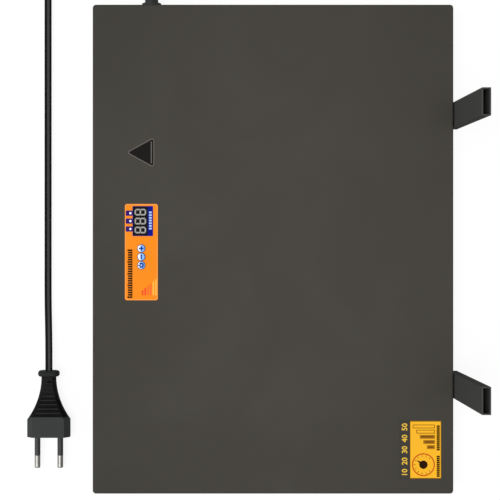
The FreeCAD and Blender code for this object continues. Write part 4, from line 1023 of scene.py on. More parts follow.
@dataclass
class Press:
    """Prints thin flat shapes: each is drawn on a level and then given the ink's thickness."""

    level: float
    ink: float = 0.00004
    rounding: int = 5
    arc_step: float = 9.0

    def raised(self, piece: Piece, thick: float | None = None) -> Piece:
        """Give a flat shape its thickness.

        Args:
            piece: The flat shape.
            thick: The thickness, or the ink's own without it.

        Returns:
            The same object, closed.
        """
        Bench.pick(piece, Pick.FACE)
        Bench.extrude((0.0, 0.0, thick or self.ink))
        Bench.close(piece)
        return piece

    def flat(self, name: str, low: Spot, high: Spot, corner: float = 0.0) -> Piece:
        """Draw a rectangle with rounded corners.

        Args:
            name: The shape's name.
            low: Its lowest corner.
            high: Its highest corner.
            corner: The radius of its corners.

        Returns:
            The flat shape.
        """
        middle = ((low[0] + high[0]) / 2, (low[1] + high[1]) / 2, self.level)
        Bench.clear()
        bpy.ops.mesh.primitive_plane_add(size=1.0, location=middle)
        piece = bpy.context.object
        piece.scale = (high[0] - low[0], high[1] - low[1], 1.0)
        Bench.settle(piece, name)
        if corner > 0.0:
            Bench.round_off(piece, corner, self.rounding)
        return piece

    def slab(self, name: str, low: Spot, high: Spot, corner: float = 0.0) -> Piece:
        """Print a filled rectangle, drawn from the same values as a flat one."""
        return self.raised(self.flat(name, low, high, corner))

    def outline(self, piece: Piece, width: float) -> Piece:
        """Keep only the rim of a flat shape.

        Args:
            piece: The flat shape.
            width: The rim's width.

        Returns:
            The printed rim.
        """
        Bench.pick(piece, Pick.FACE)
        bpy.ops.mesh.inset(thickness=width, depth=0.0)
        bpy.ops.mesh.delete(type="FACE")
        bpy.ops.object.mode_set(mode="OBJECT")
        return self.raised(piece)

    def disc(self, name: str, middle: Spot, radius: float, corners: int = 48) -> Piece:
        """Draw a disc.

        Args:
            name: The shape's name.
            middle: Its middle.
            radius: Its radius.
            corners: How many corners its rim has.

        Returns:
            The flat shape.
        """
        Bench.clear()
        spot = (*middle, self.level)
        bpy.ops.mesh.primitive_circle_add(
            vertices=corners, radius=radius, fill_type="NGON", location=spot
        )
        return Bench.settle(bpy.context.object, name)

    def arc(self, name: str, middle: Spot, radii: Spot, start: float, turn: float) -> Piece:
        """Print part of a ring.

        Args:
            name: The shape's name.
            middle: The ring's middle.
            radii: Its inner and outer radius.
            start: The angle where it begins, in degrees from +X.
            turn: How far it goes round, in degrees counter-clockwise.

        Returns:
            The printed shape.
        """
        low = (middle[0] + radii[0], middle[1])
        high = (middle[0] + radii[1], middle[1] + radii[1])
        piece = self.flat(name, low, high)
        Bench.pick(piece, Pick.CORNER, lambda at: at.y > middle[1] + radii[0] / 2)
        bpy.ops.mesh.delete(type="VERT")
        Bench.pick(piece, Pick.CORNER)
        bpy.ops.mesh.spin(
            steps=int(turn / self.arc_step), angle=-math.radians(turn),
            center=(*middle, self.level), axis=(0.0, 0.0, 1.0),
        )
        bpy.ops.object.mode_set(mode="OBJECT")
        return self.turned(self.raised(piece), middle, start)

    def turned(self, piece: Piece, middle: Spot, degrees: float) -> Piece:
        """Turn a shape on its level.

        Args:
            piece: The shape.
            middle: The point that it turns about.
            degrees: How far, counter-clockwise.

        Returns:
            The same object.
        """
        Bench.take(piece)
        angle = math.radians(degrees)
        spot = Vector((*middle, 0.0))
        piece.rotation_euler = (0.0, 0.0, angle)
        swung = Vector((
            spot.x * math.cos(angle) - spot.y * math.sin(angle),
            spot.x * math.sin(angle) + spot.y * math.cos(angle),
            0.0,
        ))
        piece.location = spot - swung
        return Bench.settle(piece, piece.name)

    def window(self, piece: Piece, shape: Piece) -> None:
        """Leave a shape out of a printed one.

        Args:
            piece: The printed shape.
            shape: The flat shape to leave out.
        """
        reach = 10 * self.ink
        self.raised(shape, 2 * reach)
        shape.location.z = -reach
        Bench.cut(piece, Bench.settle(shape, shape.name))

    @staticmethod
    def repeat(piece: Piece, step: float, count: int) -> Piece:
        """Repeat a shape along Y.

        Args:
            piece: The shape.
            step: The distance from one to the next.
            count: How many there are.

        Returns:
            The same object, with all of them.
        """
        Bench.modify(
            piece, "ARRAY", count=count, use_relative_offset=False,
            use_constant_offset=True, constant_offset_displace=Vector((0.0, step, 0.0)),
        )
        return piece


@dataclass
class Studio:
    """The camera straight above, the pale floor and the soft light."""

    image: float = 500.0
    sensor: float = 36.0
    focal: float = 1129.6
    near: float = 0.05
    axis: Spot = (185.0, 241.5)
    camera_at: Point = (-0.07599, 0.00627, 0.9489)
    floor_size: float = 9.0
    floor_drop: float = 0.0003
    floor_colour: Colour = (0.6, 0.6, 0.6, 1.0)
    floor_glow: float = 1.12
    floor_share: float = 0.8
    key_from: Point = (-0.3, -0.1, 1.0)
    key_power: float = 1.95
    fill_from: Point = (-1.0, 0.0, 0.3)
    fill_power: float = 0.6
    softness: float = 40.0
    sky: float = 0.336
    sky_colour: Colour = (1.0, 1.0, 1.0, 1.0)
    mirrored: float = 0.8

    def set_camera(self) -> None:
        """Make the camera with the photograph's view."""
        Bench.clear()
        bpy.ops.object.camera_add(location=self.camera_at, rotation=(0.0, 0.0, 0.0))
        camera = bpy.context.object
        camera.name = "camera"
        camera.data.sensor_width = self.sensor
        camera.data.lens = self.focal / self.image * self.sensor
        camera.data.shift_x = 0.5 - self.axis[0] / self.image
        camera.data.shift_y = self.axis[1] / self.image - 0.5
        camera.data.clip_start = self.near
        bpy.context.scene.camera = camera

    def white_share(self, graph: Graph, share: float) -> Socket:
        """Tell where the backdrop is looked at, straight or in a gloss.

        Args:
            graph: The material's or world's graph.
            share: The value for a straight look.

        Returns:
            The socket that holds the share, less in a gloss, and 0 for light on the object.
        """
        path = graph.add("ShaderNodeLightPath").outputs
        gloss = graph.sum("MAXIMUM", path["Is Glossy Ray"], path["Is Transmission Ray"])
        gloss = graph.sum("MULTIPLY", gloss, self.mirrored)
        return graph.sum("MAXIMUM", graph.sum("MULTIPLY", path["Is Camera Ray"], share), gloss)

    def lay_floor(self) -> None:
        """Lay the white floor, which keeps the object's shadow."""
        Bench.clear()
        spot = (0.0, 0.0, -self.floor_drop)
        bpy.ops.mesh.primitive_plane_add(size=self.floor_size, location=spot)
        floor = Bench.settle(bpy.context.object, "floor")
        material = bpy.data.materials.new("white_floor")
        material.use_nodes = True
        graph = Graph(material.node_tree)
        graph.tree.nodes.clear()
        matt = graph.add("ShaderNodeBsdfDiffuse", {"Color": self.floor_colour})
        glow = graph.add("ShaderNodeEmission", {"Strength": self.floor_glow})
        share = self.white_share(graph, self.floor_share)
        blend = graph.add("ShaderNodeMixShader", {0: share, 1: matt.outputs[0], 2: glow.outputs[0]})
        graph.add("ShaderNodeOutputMaterial", {"Surface": blend.outputs[0]})
        floor.data.materials.append(material)

    def hang(self, name: str, side: Point, power: float) -> None:
        """Hang a wide, far lamp.

        Args:
            name: The lamp's name.
            side: The direction that its light comes from.
            power: Its strength.
        """
        Bench.clear()
        bpy.ops.object.light_add(type="SUN", location=side)
        lamp = bpy.context.object
        lamp.name = name
        lamp.data.angle = math.radians(self.softness)
        lamp.data.energy = power
        lamp.rotation_euler = (-Vector(side)).to_track_quat("-Z", "Y").to_euler()

    def light(self) -> None:
        """Hang the soft lamps and set the even light from all round."""
        self.hang("key_lamp", self.key_from, self.key_power)
        self.hang("fill_lamp", self.fill_from, self.fill_power)
        world = bpy.data.worlds.new("studio")
        world.use_nodes = True
        bpy.context.scene.world = world
        graph = Graph(world.node_tree)
        graph.tree.nodes.clear()
        strength = graph.sum("MAXIMUM", self.white_share(graph, 1.0), self.sky)
        air = graph.add("ShaderNodeBackground", {"Color": self.sky_colour, "Strength": strength})
        graph.add("ShaderNodeOutputWorld", {"Surface": air.outputs[0]})
        bpy.context.scene.view_settings.view_transform = "Standard"


@dataclass
class Section:
    """A part of the heater: the pieces that are made for it and the CAD nodes that it paints.

    Attributes:
        frame: The loaded frame.
        coats: The finishes by name.
        nodes: The name of each CAD node's finish.
        smooth: The angle up to which edges are shaded smooth.
    """

    frame: dict
    coats: dict[str, Finish]
    nodes: ClassVar[dict[str, str]] = {}
    smooth: ClassVar[float] = math.radians(32)

    def build(self) -> None:
        """Make the section's own pieces, then paint its CAD nodes."""
        self.make()
        for node, coat in self.nodes.items():
            self.coats[coat].paint(self.frame["nodes"][node])
            LOG.info("node %s: %s", node, coat)

    def make(self) -> None:
        """Make the section's own pieces; one that has CAD nodes alone makes none."""

    def fit(self, piece: Piece, coat: str, body: str = BODY, slot: str | None = None) -> None:
        """Finish a piece: smooth it, paint it and let it ride on a body.

        Args:
            piece: The finished object.
            coat: The name of its finish.
            body: The body that it rides on.
            slot: The name of a record's material slot; not used.
        """
        Bench.take(piece)
        bpy.ops.object.shade_smooth_by_angle(angle=self.smooth)
        Bench.clear()
        self.coats[coat].paint(piece)
        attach(piece, body)
        LOG.info("piece %s on %s: %d faces", piece.name, body, len(piece.data.polygons))


@dataclass
class Lead(Section):
    """The mains lead: its bush, its free length with a tied coil, and its plug."""

    diameter: float = 0.006
    length: float = 1.83
    exit_at: Point = (-0.10355, 0.2305, 0.01545)
    tail_y: Point = (0.251, 0.274, 0.294)
    low: float = 0.0043
    high: float = 0.0109
    coil_middle: Spot = (-0.1471, 0.3)
    coil_radius: float = 0.04355
    pitch: float = 0.0066
    turns: int = 3
    points_per_turn: int = 24
    run_x: float = -0.19065
    leave_y: Spot = (0.294, 0.272)
    floor_y: tuple[float, ...] = (0.246, 0.2189, -0.015, -0.0452)
    floor_z: float = 0.003
    plug_x: float = -0.18945
    plug_y: Spot = (-0.0752, -0.1012)
    plug_z: float = 0.007
    round_steps: int = 5
    length_steps: int = 8
    order: int = 3
    strap_x: Spot = (-0.1531, -0.1411)
    strap_y: Spot = (0.0178, 0.04785)
    strap_top: float = 0.0152
    strap_thick: float = 0.0009
    strap_corner: float = 0.0041
    strap_rounding: int = 8
    tab_y: Spot = (0.0245, 0.0398)
    tab_thick: float = 0.0008
    tab_corner: float = 0.0027
    nodes: ClassVar[dict[str, str]] = {
        "cord_bush": "bush_black",
        "cord_inside": "cord_black",
        "plug_body": "plug_black",
        "plug_pins": "pin_nickel",
        "pin_sleeves": "black_plastic",
    }

    def coil_points(self) -> list[Point]:
        """Give the coil's points: in along the floor, up a layer and out again.

        Returns:
            The points in metres.
        """
        points = []
        steps = self.points_per_turn
        half = steps // 2
        inner = self.turns * steps
        for step in range(2 * inner + half + 1):
            wound_in = min(step, inner)
            wound_out = max(0, step - inner - half)
            climb = min(max(step - inner, 0), half) / half
            radius = self.coil_radius - self.pitch * (wound_in - wound_out) / steps
            radius -= self.pitch / math.tau * math.sin(math.pi * climb)
            level = self.low + (self.high - self.low) * climb
            angle = math.tau * step / steps
            x = self.coil_middle[0] + radius * math.cos(angle)
            y = self.coil_middle[1] + radius * math.sin(angle)
            points.append((x, y, level))
        return points

    def route(self) -> list[Point]:
        """Give the points of the whole lead, from its bush to its plug.

        Returns:
            The points in metres.
        """
        x, _, exit_z = self.exit_at
        points = [self.exit_at, (x, self.tail_y[0], exit_z)]
        points += [(x, y, self.low) for y in self.tail_y[1:]]
        points += self.coil_points()
        points += [(self.run_x, y, self.high) for y in self.leave_y]
        points += [(self.run_x, y, self.floor_z) for y in self.floor_y]
        points += [(self.plug_x, y, self.plug_z) for y in self.plug_y]
        return points

    def across_coil(self, side: int, reaches: Spot) -> list[float]:
        """Give the two Y values, lowest first, at distances to one side of the coil's middle."""
        return sorted(self.coil_middle[1] + side * reach for reach in reaches)

    def band(self, side: int) -> Piece:
        """Bend one strap round the coil's turns.

        Args:
            side: 1 for the coil's far side and -1 for its near side.

        Returns:
            The closed band.
        """
        y0, y1 = self.across_coil(side, self.strap_y)
        Bench.clear()
        spot = (self.strap_x[0], (y0 + y1) / 2, self.strap_top / 2)
        bpy.ops.mesh.primitive_plane_add(size=1.0, location=spot, rotation=(0.0, math.pi / 2, 0.0))
        piece = bpy.context.object
        piece.scale = (self.strap_top, y1 - y0, 1.0)
        Bench.settle(piece, "coil_strap")
        Bench.round_off(piece, self.strap_corner, self.strap_rounding)
        Bench.pick(piece, Pick.FACE)
        bpy.ops.mesh.delete(type="ONLY_FACE")
        Bench.pick(piece, Pick.EDGE)
        Bench.extrude((self.strap_x[1] - self.strap_x[0], 0.0, 0.0))
        Bench.close(piece)
        Bench.modify(piece, "SOLIDIFY", thickness=self.strap_thick, offset=-1.0)
        Bench.ease(piece, self.strap_thick)
        return piece

    def straps(self) -> Piece:
        """Make the coil's two straps, each with its overlapping end.

        Returns:
            Both straps as one object.
        """
        press = Press(self.strap_top)
        inset = self.strap_thick / 2
        parts = []
        for side in (-1, 1):
            parts.append(self.band(side))
            y0, y1 = self.across_coil(side, self.tab_y)
            low, high = (self.strap_x[0] + inset, y0), (self.strap_x[1] - inset, y1)
            tab = press.raised(press.flat("tab", low, high, self.tab_corner), self.tab_thick)
            Bench.ease(tab, self.tab_thick)
            parts.append(tab)
        return Bench.join(parts, "coil_straps")

    def cord(self) -> Piece:
        """Lay the lead along its route as one smooth curve.

        Returns:
            The curve's object.
        """
        curve = bpy.data.curves.new("mains_lead", "CURVE")
        curve.dimensions = "3D"
        curve.bevel_depth = self.diameter / 2
        curve.bevel_resolution = self.round_steps
        curve.resolution_u = self.length_steps
        curve.use_fill_caps = True
        spline = curve.splines.new("NURBS")
        points = self.route()
        spline.points.add(len(points) - 1)
        for corner, point in zip(spline.points, points):
            corner.co = (*point, 1.0)
        spline.order_u = self.order
        spline.use_endpoint_u = True
        lead = bpy.data.objects.new("mains_lead", curve)
        bpy.context.scene.collection.objects.link(lead)
        LOG.info("piece mains_lead on %s: %d points", BODY, len(points))
        return lead

    def make(self) -> None:
        """Lay the lead and tie its coil."""
        lead = self.cord()
        self.coats["cord_black"].paint(lead)
        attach(lead, BODY)
        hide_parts("cord_tail", "cord_coil", "cord_run")
        straps = self.straps()
        self.fit(straps, "tie_black", slot="tie_black")
        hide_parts("cord_ties")
        carried = [straps, *(self.frame["nodes"][n] for n in self.nodes if n != "cord_inside")]
        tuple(self.exit_at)


@dataclass
class Casing(Section):
    """The folded covers, their screws and spacers, and the feet."""

    nodes: ClassVar[dict[str, str]] = {
        "front_cover": "case_paint",
        "rear_cover": "zinc_steel",
        "cover_screws": "screw_steel",
        "wall_spacers": "spacer_rubber",
        "foot_left": "foot_paint",
        "foot_right": "foot_paint",
        "foot_screw_left": "screw_steel",
        "foot_screw_right": "screw_steel",
        "foot_washers": "nylon_black",
        "foot_nuts": "zinc_steel",
    }


@dataclass
class PrintedSection(Section):
    """A section with prints on its top face."""

    top: float = 0.0262

    @property
    def press(self) -> Press:
        """Give a press at the level of the top face."""
        return Press(self.top)


@dataclass
class ControlLabel(PrintedSection):
    """The orange label: its border, scale and level bars, the display and the lamps."""

    top: float = 0.0263
    low: Spot = (-0.1251, -0.04175)
    high: Spot = (-0.09815, 0.03695)
    corner: float = 0.0018
    rim: float = 0.0006
    screen_low: Spot = (-0.11887, 0.0107)
    screen_high: Spot = (-0.1021, 0.0352)
    window_low: Spot = (-0.11845, 0.0111)
    window_high: Spot = (-0.10635, 0.0348)
    block_low: Spot = (-0.1054, 0.0161)
    block_high: Spot = (-0.1031, 0.01755)
    block_pitch: float = 0.0022
    block_count: int = 7
    digit_level: float = 0.0245
    digit_x: float = -0.11255
    digit_ys: Point = (0.01566, 0.02297, 0.0303)
    digit_size: Spot = (0.00945, 0.0055)
    stroke: float = 0.0012
    segment_gap: float = 0.0001
    lamp_low: Spot = (-0.1244, 0.01435)
    lamp_high: Spot = (-0.1189, 0.01865)
    lamp_x: float = -0.1206
    lamp_radius: float = 0.0011
    lamp_pitch: float = 0.00645
    lamp_count: int = 3
    ruler_x: Point = (-0.1230, -0.1226, -0.1196)
    ruler_y: Spot = (-0.0399, -0.0002)
    ruler_step: float = 0.001916
    ruler_stroke: float = 0.72
    ruler_group: int = 5
    ruler_base: float = 0.0006
    bars_at: Spot = (-0.1114, -0.0377)
    bar_wide: float = 0.0015
    bar_pitch: float = 0.0022
    bar_length: float = 0.0042
    bar_growth: float = 0.0018
    bar_corner: float = 0.3
    bar_inks: tuple[str, ...] = ("red", "red", "ember", "ember", "yellow", "yellow")
    nodes: ClassVar[dict[str, str]] = {
        "control_label": "label_orange",
        "display_lens": "smoked_lens",
        "indicator_lights": "lamp_white",
    }

    def border(self) -> Piece:
        """Print the paler border round the label.

        Returns:
            The printed border.
        """
        edge = self.rim / 3
        low = (self.low[0] + edge, self.low[1] + edge)
        high = (self.high[0] - edge, self.high[1] - edge)
        shape = self.press.flat("label_border", low, high, self.corner - edge)
        return self.press.outline(shape, self.rim)

    def screen(self) -> Piece:
        """Print the blue frame of the display, with its window.

        Returns:
            The printed frame.
        """
        shape = self.press.slab("display_frame", self.screen_low, self.screen_high, self.rim)
        self.press.window(shape, self.press.flat("window", self.window_low, self.window_high))
        return shape

    def blocks(self) -> Piece:
        """Print the row of plain pale blocks on the display's frame.

        Returns:
            The printed row.
        """
        press = Press(self.top + Press.ink)
        block = press.slab("display_blocks", self.block_low, self.block_high, self.rim / 3)
        return press.repeat(block, self.block_pitch, self.block_count)

    def segment(self, press: Press, length: float) -> Piece:
        """Make one lit segment along X, pointed at both ends.

        Args:
            press: The level that it is printed on.
            length: Its length from point to point.

        Returns:
            The printed segment, at the display's middle.
        """
        half, across = (length - self.stroke) / 2, self.stroke / 2
        x = self.digit_x
        piece = press.flat("segment", (x - half, -across), (x + half, across))
        for way in (-1, 1):
            Bench.pull(piece, Vector((x + way * half, 0.0, press.level)), (way * across, 0.0, 0.0))
            bpy.ops.mesh.merge(type="CENTER")
            bpy.ops.object.mode_set(mode="OBJECT")
        return press.raised(piece)

    def digits(self) -> Piece:
        """Make the display's three digits of seven segments.

        Returns:
            The digits as one object.
        """
        press = Press(self.digit_level, 2 * Press.ink)
        tall, wide = (self.digit_size[0] - self.stroke) / 2, self.digit_size[1] - self.stroke
        upright = self.segment(press, tall - self.segment_gap)
        level = self.segment(press, wide - self.segment_gap)
        press.turned(level, (self.digit_x, 0.0), 90.0)
        parts = []
        for y in self.digit_ys:
            for x in (-tall, 0.0, tall):
                parts.append(Bench.twin(level, (x, y, 0.0)))
            for x in (-tall / 2, tall / 2):
                for side in (-wide / 2, wide / 2):
                    parts.append(Bench.twin(upright, (x, y + side, 0.0)))
        bpy.data.objects.remove(upright)
        bpy.data.objects.remove(level)
        return Bench.join(parts, "display_digits")

    def lamp_plates(self) -> Piece:
        """Print the violet plates round the three lamps.

        Returns:
            The printed plates.
        """
        plate = self.press.slab("lamp_plates", self.lamp_low, self.lamp_high, self.rim)
        middle = (self.lamp_x, (self.lamp_low[1] + self.lamp_high[1]) / 2)
        self.press.window(plate, self.press.disc("lamp_hole", middle, self.lamp_radius))
        return self.press.repeat(plate, self.lamp_pitch, self.lamp_count)

    def ruler(self) -> Piece:
        """Print the scale of short and long strokes along the label's top edge.

        Returns:
            The printed scale.
        """
        press = self.press
        long_x, short_x, foot_x = self.ruler_x
        y, end = self.ruler_y
        step = self.ruler_step
        wide = step * self.ruler_stroke
        group = self.ruler_group * step
        groups = int((end - y) / group)
        tall = press.slab("label_scale", (long_x, y), (foot_x, y + wide))
        press.repeat(tall, group, groups + 1)
        short = press.slab("strokes", (short_x, y + step), (foot_x, y + step + wide))
        press.repeat(press.repeat(short, step, self.ruler_group - 1), group, groups)
        base = press.slab("base", (foot_x, y), (foot_x + self.ruler_base, y + group * groups + wide))
        return Bench.join([tall, short, base], "label_scale")

    def level_bars(self) -> dict[str, Piece]:
        """Print the stack of level bars.

        Returns:
            The bars of each colour by its name.
        """
        bars: dict[str, list[Piece]] = {}
        for index, name in enumerate(self.bar_inks):
            x, y = self.bars_at[0] + self.bar_pitch * index, self.bars_at[1]
            high = (x + self.bar_wide, y + self.bar_length + self.bar_growth * index)
            bar = self.press.slab(f"bar_{index}", (x, y), high, self.bar_wide * self.bar_corner)
            bars.setdefault(name, []).append(bar)
        return {name: Bench.join(parts, f"level_{name}") for name, parts in bars.items()}

    def make(self) -> None:
        """Print the label and set the digits behind its lens."""
        self.fit(self.border(), "ink_pale", slot="label_orange")
        self.fit(self.screen(), "ink_blue")
        self.fit(self.blocks(), "ink_ice")
        self.fit(self.digits(), "segment_grey")
        self.fit(self.lamp_plates(), "ink_violet")
        self.fit(self.ruler(), "ink_brown")
        for name, bars in self.level_bars().items():
            self.fit(bars, f"ink_{name}")


@dataclass
class Buttons(PrintedSection):
    """The three push buttons and their signs; up is -X."""

    top: float = 0.027
    label_top: float = 0.0263
    x: float = -0.1117
    ys: Point = (-0.01315, -0.00625, 0.00065)
    arm: float = 0.002
    stroke: float = 0.0012
    bar_corner: float = 0.6
    ring: Spot = (0.00315, 0.00343)
    broken_ring: Spot = (0.0008, 0.0022)
    ring_start: float = 215.0
    ring_turn: float = 290.0
    nodes: ClassVar[dict[str, str]] = {mark.value: "button_blue" for mark in Mark}

    def rings(self) -> Piece:
        """Print a dark ring round each button's hole on the label: painted shade of the gap round each
        cap.

        Returns:
            The printed rings.
        """
        press = Press(self.label_top)
        width = self.ring[1] - self.ring[0]
        # Painted shade: a dark ring round each button stands in for the shadowed gap between cap and
        # label.
        discs = [press.disc("button_rings", (self.x, y), self.ring[1]) for y in self.ys]
        return Bench.join([press.outline(disc, width) for disc in discs], "button_rings")

    def power(self, y: float) -> Piece:
        """Make the sign of a broken ring with a bar in its gap.

        Args:
            y: Where the button is.

        Returns:
            The printed sign.
        """
        middle = (self.x, y)
        ring = self.press.arc("ring", middle, self.broken_ring, self.ring_start, self.ring_turn)
        half = self.stroke / 2
        low, high = (self.x - self.arm - half, y - half), (self.x - self.stroke / 3, y + half)
        bar = self.press.slab("bar", low, high, half * self.bar_corner)
        return Bench.join([ring, bar], "mark_power")

    def minus(self, y: float) -> Piece:
        """Make the sign of one bar.

        Args:
            y: Where the button is.

        Returns:
            The printed sign.
        """
        half = self.stroke / 2
        low, high = (self.x - half, y - self.arm), (self.x + half, y + self.arm)
        return self.press.slab("mark_minus", low, high, half * self.bar_corner)

    def plus(self, y: float) -> Piece:
        """Make the sign of two crossed bars, pulled out of a square.

        Args:
            y: Where the button is.

        Returns:
            The printed sign.
        """
        half, reach = self.stroke / 2, self.arm - self.stroke / 2
        low, high = (self.x - half, y - half), (self.x + half, y + half)
        piece = self.press.flat("mark_plus", low, high)
        for way in ((1, 0), (-1, 0), (0, 1), (0, -1)):
            middle = Vector((self.x + way[0] * half, y + way[1] * half, self.top))
            Bench.pull(piece, middle, (way[0] * reach, way[1] * reach, 0.0))
        return self.press.raised(piece)

    def make(self) -> None:
        """Print the signs on the caps, and a ring of painted shade round each."""
        for mark, make, y in zip(Mark, (self.power, self.minus, self.plus), self.ys):
            self.fit(make(y), "ink_azure", mark.value)
        self.fit(self.rings(), "ink_slate")


@dataclass
class Badge(PrintedSection):
    """The three-cornered plate: a grey rim and a row of plain dashes."""

    middle: Spot = (-0.10873, 0.079)
    size: Spot = (0.0238, 0.0262)
    inner: float = 0.985
    corner: float = 0.0036
    rounding: int = 6
    rim: float = 0.00085
    dash_low: Spot = (-0.10395, 0.0703)
    dash_high: Spot = (-0.10305, 0.0717)
    dash_pitch: float = 0.00178
    dash_count: int = 10
    nodes: ClassVar[dict[str, str]] = {"front_badge": "badge_black"}

    def outline(self) -> Piece:
        """Print the rim of a triangle with rounded corners, its point towards -X.

        Returns:
            The printed rim.
        """
        Bench.clear()
        spot = (*self.middle, self.top)
        bpy.ops.mesh.primitive_circle_add(vertices=3, radius=1.0, fill_type="NGON", location=spot)
        piece = bpy.context.object
        # A triangle in a circle of radius 1 is 1.5 high, and the root of 3 wide.
        wide, tall = self.size[1] / math.sqrt(3), self.size[0] / 1.5
        piece.scale = (wide * self.inner, tall * self.inner, 1.0)
        piece.rotation_euler = (0.0, 0.0, math.pi / 2)
        Bench.settle(piece, "badge_rim")
        Bench.round_off(piece, self.corner, self.rounding)
        return self.press.outline(piece, self.rim)

    def dashes(self) -> Piece:
        """Print the row of dashes."""
        dash = self.press.slab("badge_dashes", self.dash_low, self.dash_high, self.rim / 6)
        return self.press.repeat(dash, self.dash_pitch, self.dash_count)

    def make(self) -> None:
        """Print the badge."""
        self.fit(self.outline(), "ink_grey")
        self.fit(self.dashes(), "ink_silver")


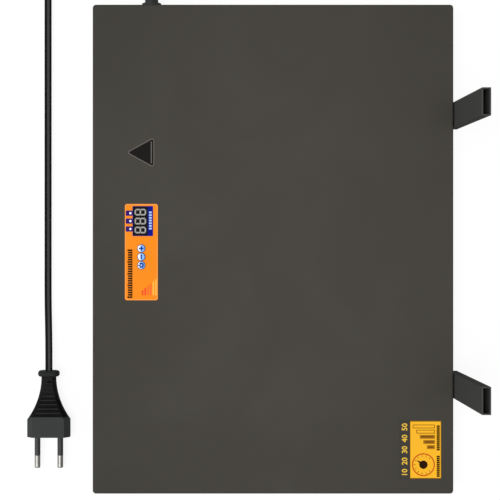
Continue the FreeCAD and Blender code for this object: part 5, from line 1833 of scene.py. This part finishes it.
@dataclass
class ScalePlate(PrintedSection):
    """The amber plate: a dark head with numbers, a dial, level boxes and rows of strokes."""

    low: float = 0.0996
    head: float = 0.008
    numbers: tuple[str, ...] = ("10", "20", "30", "40", "50")
    number_size: float = 0.0062
    number_swell: float = 0.00012
    number_steps: int = 3
    number_y: float = -0.1825
    number_pitch: float = 0.0093
    dial: Spot = (0.11875, -0.17605)
    dial_radius: float = 0.00936
    dial_stroke: float = 0.00095
    dial_corners: int = 72
    ticks: int = 11
    tick_r: Spot = (0.0064, 0.0081)
    tick_half: float = 0.00019
    tick_start: float = 45.0
    tick_sweep: float = 270.0
    needle_tip: float = 0.0069
    needle_half: float = 0.0012
    needle_turn: float = 146.0
    hub: float = 0.0034
    box_y: float = -0.1632
    box_pitch: float = 0.00422
    box_x: Spot = (0.1281, 0.1101)
    box_wide: float = 0.003
    box_stroke: float = 0.0005
    box_heights: tuple[float, ...] = (0.36, 0.52, 0.68, 0.84, 1.0)
    box_fills: int = 3
    box_inset: float = 0.00075
    rows_x: Spot = (0.1296, 0.1321)
    rows_y: tuple[Spot, ...] = ((-0.186, -0.1676), (-0.1644, -0.1422))
    row_step: float = 0.0016
    row_stroke: float = 0.8
    frame_low: Spot = (0.1076, -0.18735)
    frame_high: Spot = (0.1333, -0.1404)
    frame_stroke: float = 0.0004
    nodes: ClassVar[dict[str, str]] = {"notice_plate": "notice_amber"}

    def edging(self) -> Piece:
        """Print the thin dark line round the amber field."""
        shape = self.press.flat("scale_edging", self.frame_low, self.frame_high)
        return self.press.outline(shape, self.frame_stroke)

    def figures(self) -> Piece:
        """Print the numbers of the scale on the head.

        Returns:
            The printed numbers.
        """
        parts = []
        for index, number in enumerate(self.numbers):
            Bench.clear()
            spot = (self.low + self.head / 2, self.number_y + index * self.number_pitch, self.top)
            bpy.ops.object.text_add(location=spot, rotation=(0.0, 0.0, math.pi / 2))
            text = bpy.context.object
            text.data.body = number
            text.data.size = self.number_size
            text.data.offset = self.number_swell
            text.data.align_x = "CENTER"
            text.data.align_y = "CENTER"
            text.data.resolution_u = self.number_steps
            Bench.take(text)
            bpy.ops.object.convert(target="MESH")
            piece = Bench.settle(bpy.context.object, f"number_{number}")
            Bench.close(piece)
            parts.append(self.press.raised(piece))
        return Bench.join(parts, "scale_numbers")

    def ring(self) -> Piece:
        """Print the dial's ring."""
        shape = self.press.disc("dial_ring", self.dial, self.dial_radius, self.dial_corners)
        return self.press.outline(shape, self.dial_stroke)

    def tick_marks(self) -> Piece:
        """Print the strokes inside the dial's ring, open towards its foot.

        Returns:
            The printed strokes.
        """
        low = (self.dial[0] + self.tick_r[0], self.dial[1] - self.tick_half)
        high = (self.dial[0] + self.tick_r[1], self.dial[1] + self.tick_half)
        parts = []
        for index in range(self.ticks):
            angle = self.tick_start + self.tick_sweep * index / (self.ticks - 1)
            stroke = self.press.slab("dial_ticks", low, high)
            parts.append(self.press.turned(stroke, self.dial, angle))
        return Bench.join(parts, "dial_ticks")

    def pointer(self) -> Piece:
        """Print the dial's pointer, a blade that runs to a point, on its knob.

        Returns:
            The printed pointer.
        """
        press = self.press
        half = self.needle_half
        tip = self.dial[0] + self.needle_tip
        low = (self.dial[0] + self.hub / 2, self.dial[1] - half)
        blade = press.flat("dial_pointer", low, (tip, self.dial[1] + half))
        Bench.pick(blade, Pick.CORNER, lambda at: at.x > tip - half)
        bpy.ops.mesh.merge(type="CENTER")
        bpy.ops.object.mode_set(mode="OBJECT")
        blade = press.turned(press.raised(blade), self.dial, self.needle_turn)
        hub = press.raised(press.disc("hub", self.dial, self.hub), 2 * press.ink)
        return Bench.join([blade, hub], "dial_pointer")

    def boxes(self) -> Piece:
        """Print the rising boxes, the first ones filled.

        Returns:
            The printed boxes.
        """
        press = self.press
        inset = self.box_inset
        foot, head = self.box_x
        parts = []
        for index, share in enumerate(self.box_heights):
            y = self.box_y + index * self.box_pitch
            low, high = (foot + (head - foot) * share, y), (foot, y + self.box_wide)
            shape = press.flat(f"box_{index}", low, high, self.box_stroke)
            parts.append(press.outline(shape, self.box_stroke))
            if index < self.box_fills:
                low = (low[0] + inset, low[1] + inset)
                high = (high[0] - inset, high[1] - inset)
                parts.append(press.slab(f"fill_{index}", low, high))
        return Bench.join(parts, "level_boxes")

    def stroke_rows(self) -> Piece:
        """Print the two rows of strokes along the plate's foot.

        Returns:
            The printed rows.
        """
        parts = []
        for start, end in self.rows_y:
            high = (self.rows_x[1], start + self.row_step * self.row_stroke)
            row = self.press.slab("scale_rows", (self.rows_x[0], start), high)
            parts.append(self.press.repeat(row, self.row_step, int((end - start) / self.row_step)))
        return Bench.join(parts, "scale_rows")

    def make(self) -> None:
        """Print the plate."""
        self.fit(self.figures(), "ink_amber", slot="notice_amber")
        self.fit(self.edging(), "ink_brown")
        self.fit(self.ring(), "ink_rust")
        self.fit(self.tick_marks(), "ink_umber")
        self.fit(self.pointer(), "ink_brown")
        self.fit(self.boxes(), "ink_umber")
        self.fit(self.stroke_rows(), "ink_brown")


@dataclass
class Insides(Section):
    """What the covers hide: board, heating element and wiring."""

    nodes: ClassVar[dict[str, str]] = {
        "control_board": "board_green",
        "board_standoffs": "brass",
        "board_screws": "screw_steel",
        "display_module": "display_black",
        "push_switches": "black_plastic",
        "relay": "relay_blue",
        "supply_module": "black_plastic",
        "filter_capacitor": "can_aluminium",
        "terminal_block": "terminal_green",
        "probe_header": "header_white",
        "heat_barrier": "zinc_steel",
        "heating_element": "element_black",
        "busbars": "copper",
        "insulation_pad": "felt",
        "clamp_bars": "zinc_steel",
        "clamp_studs": "screw_steel",
        "clamp_nuts": "screw_steel",
        "thermal_cutout": "black_plastic",
        "temperature_probe": "can_aluminium",
        "probe_lead": "wire_white",
        "mains_cores": "wire_brown",
        "element_leads": "wire_white",
    }


def main() -> None:
    """Build the heater's looks section by section."""
    logging.basicConfig(level=logging.INFO, format="%(message)s")
    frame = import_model()
    coats = finishes()
    studio = Studio()
    studio.set_camera()
    for section in (Lead, Casing, ControlLabel, Buttons, Badge, ScalePlate, Insides):
        section(frame, coats).build()
    studio.lay_floor()
    studio.light()


if __name__ == "__main__":
    main()
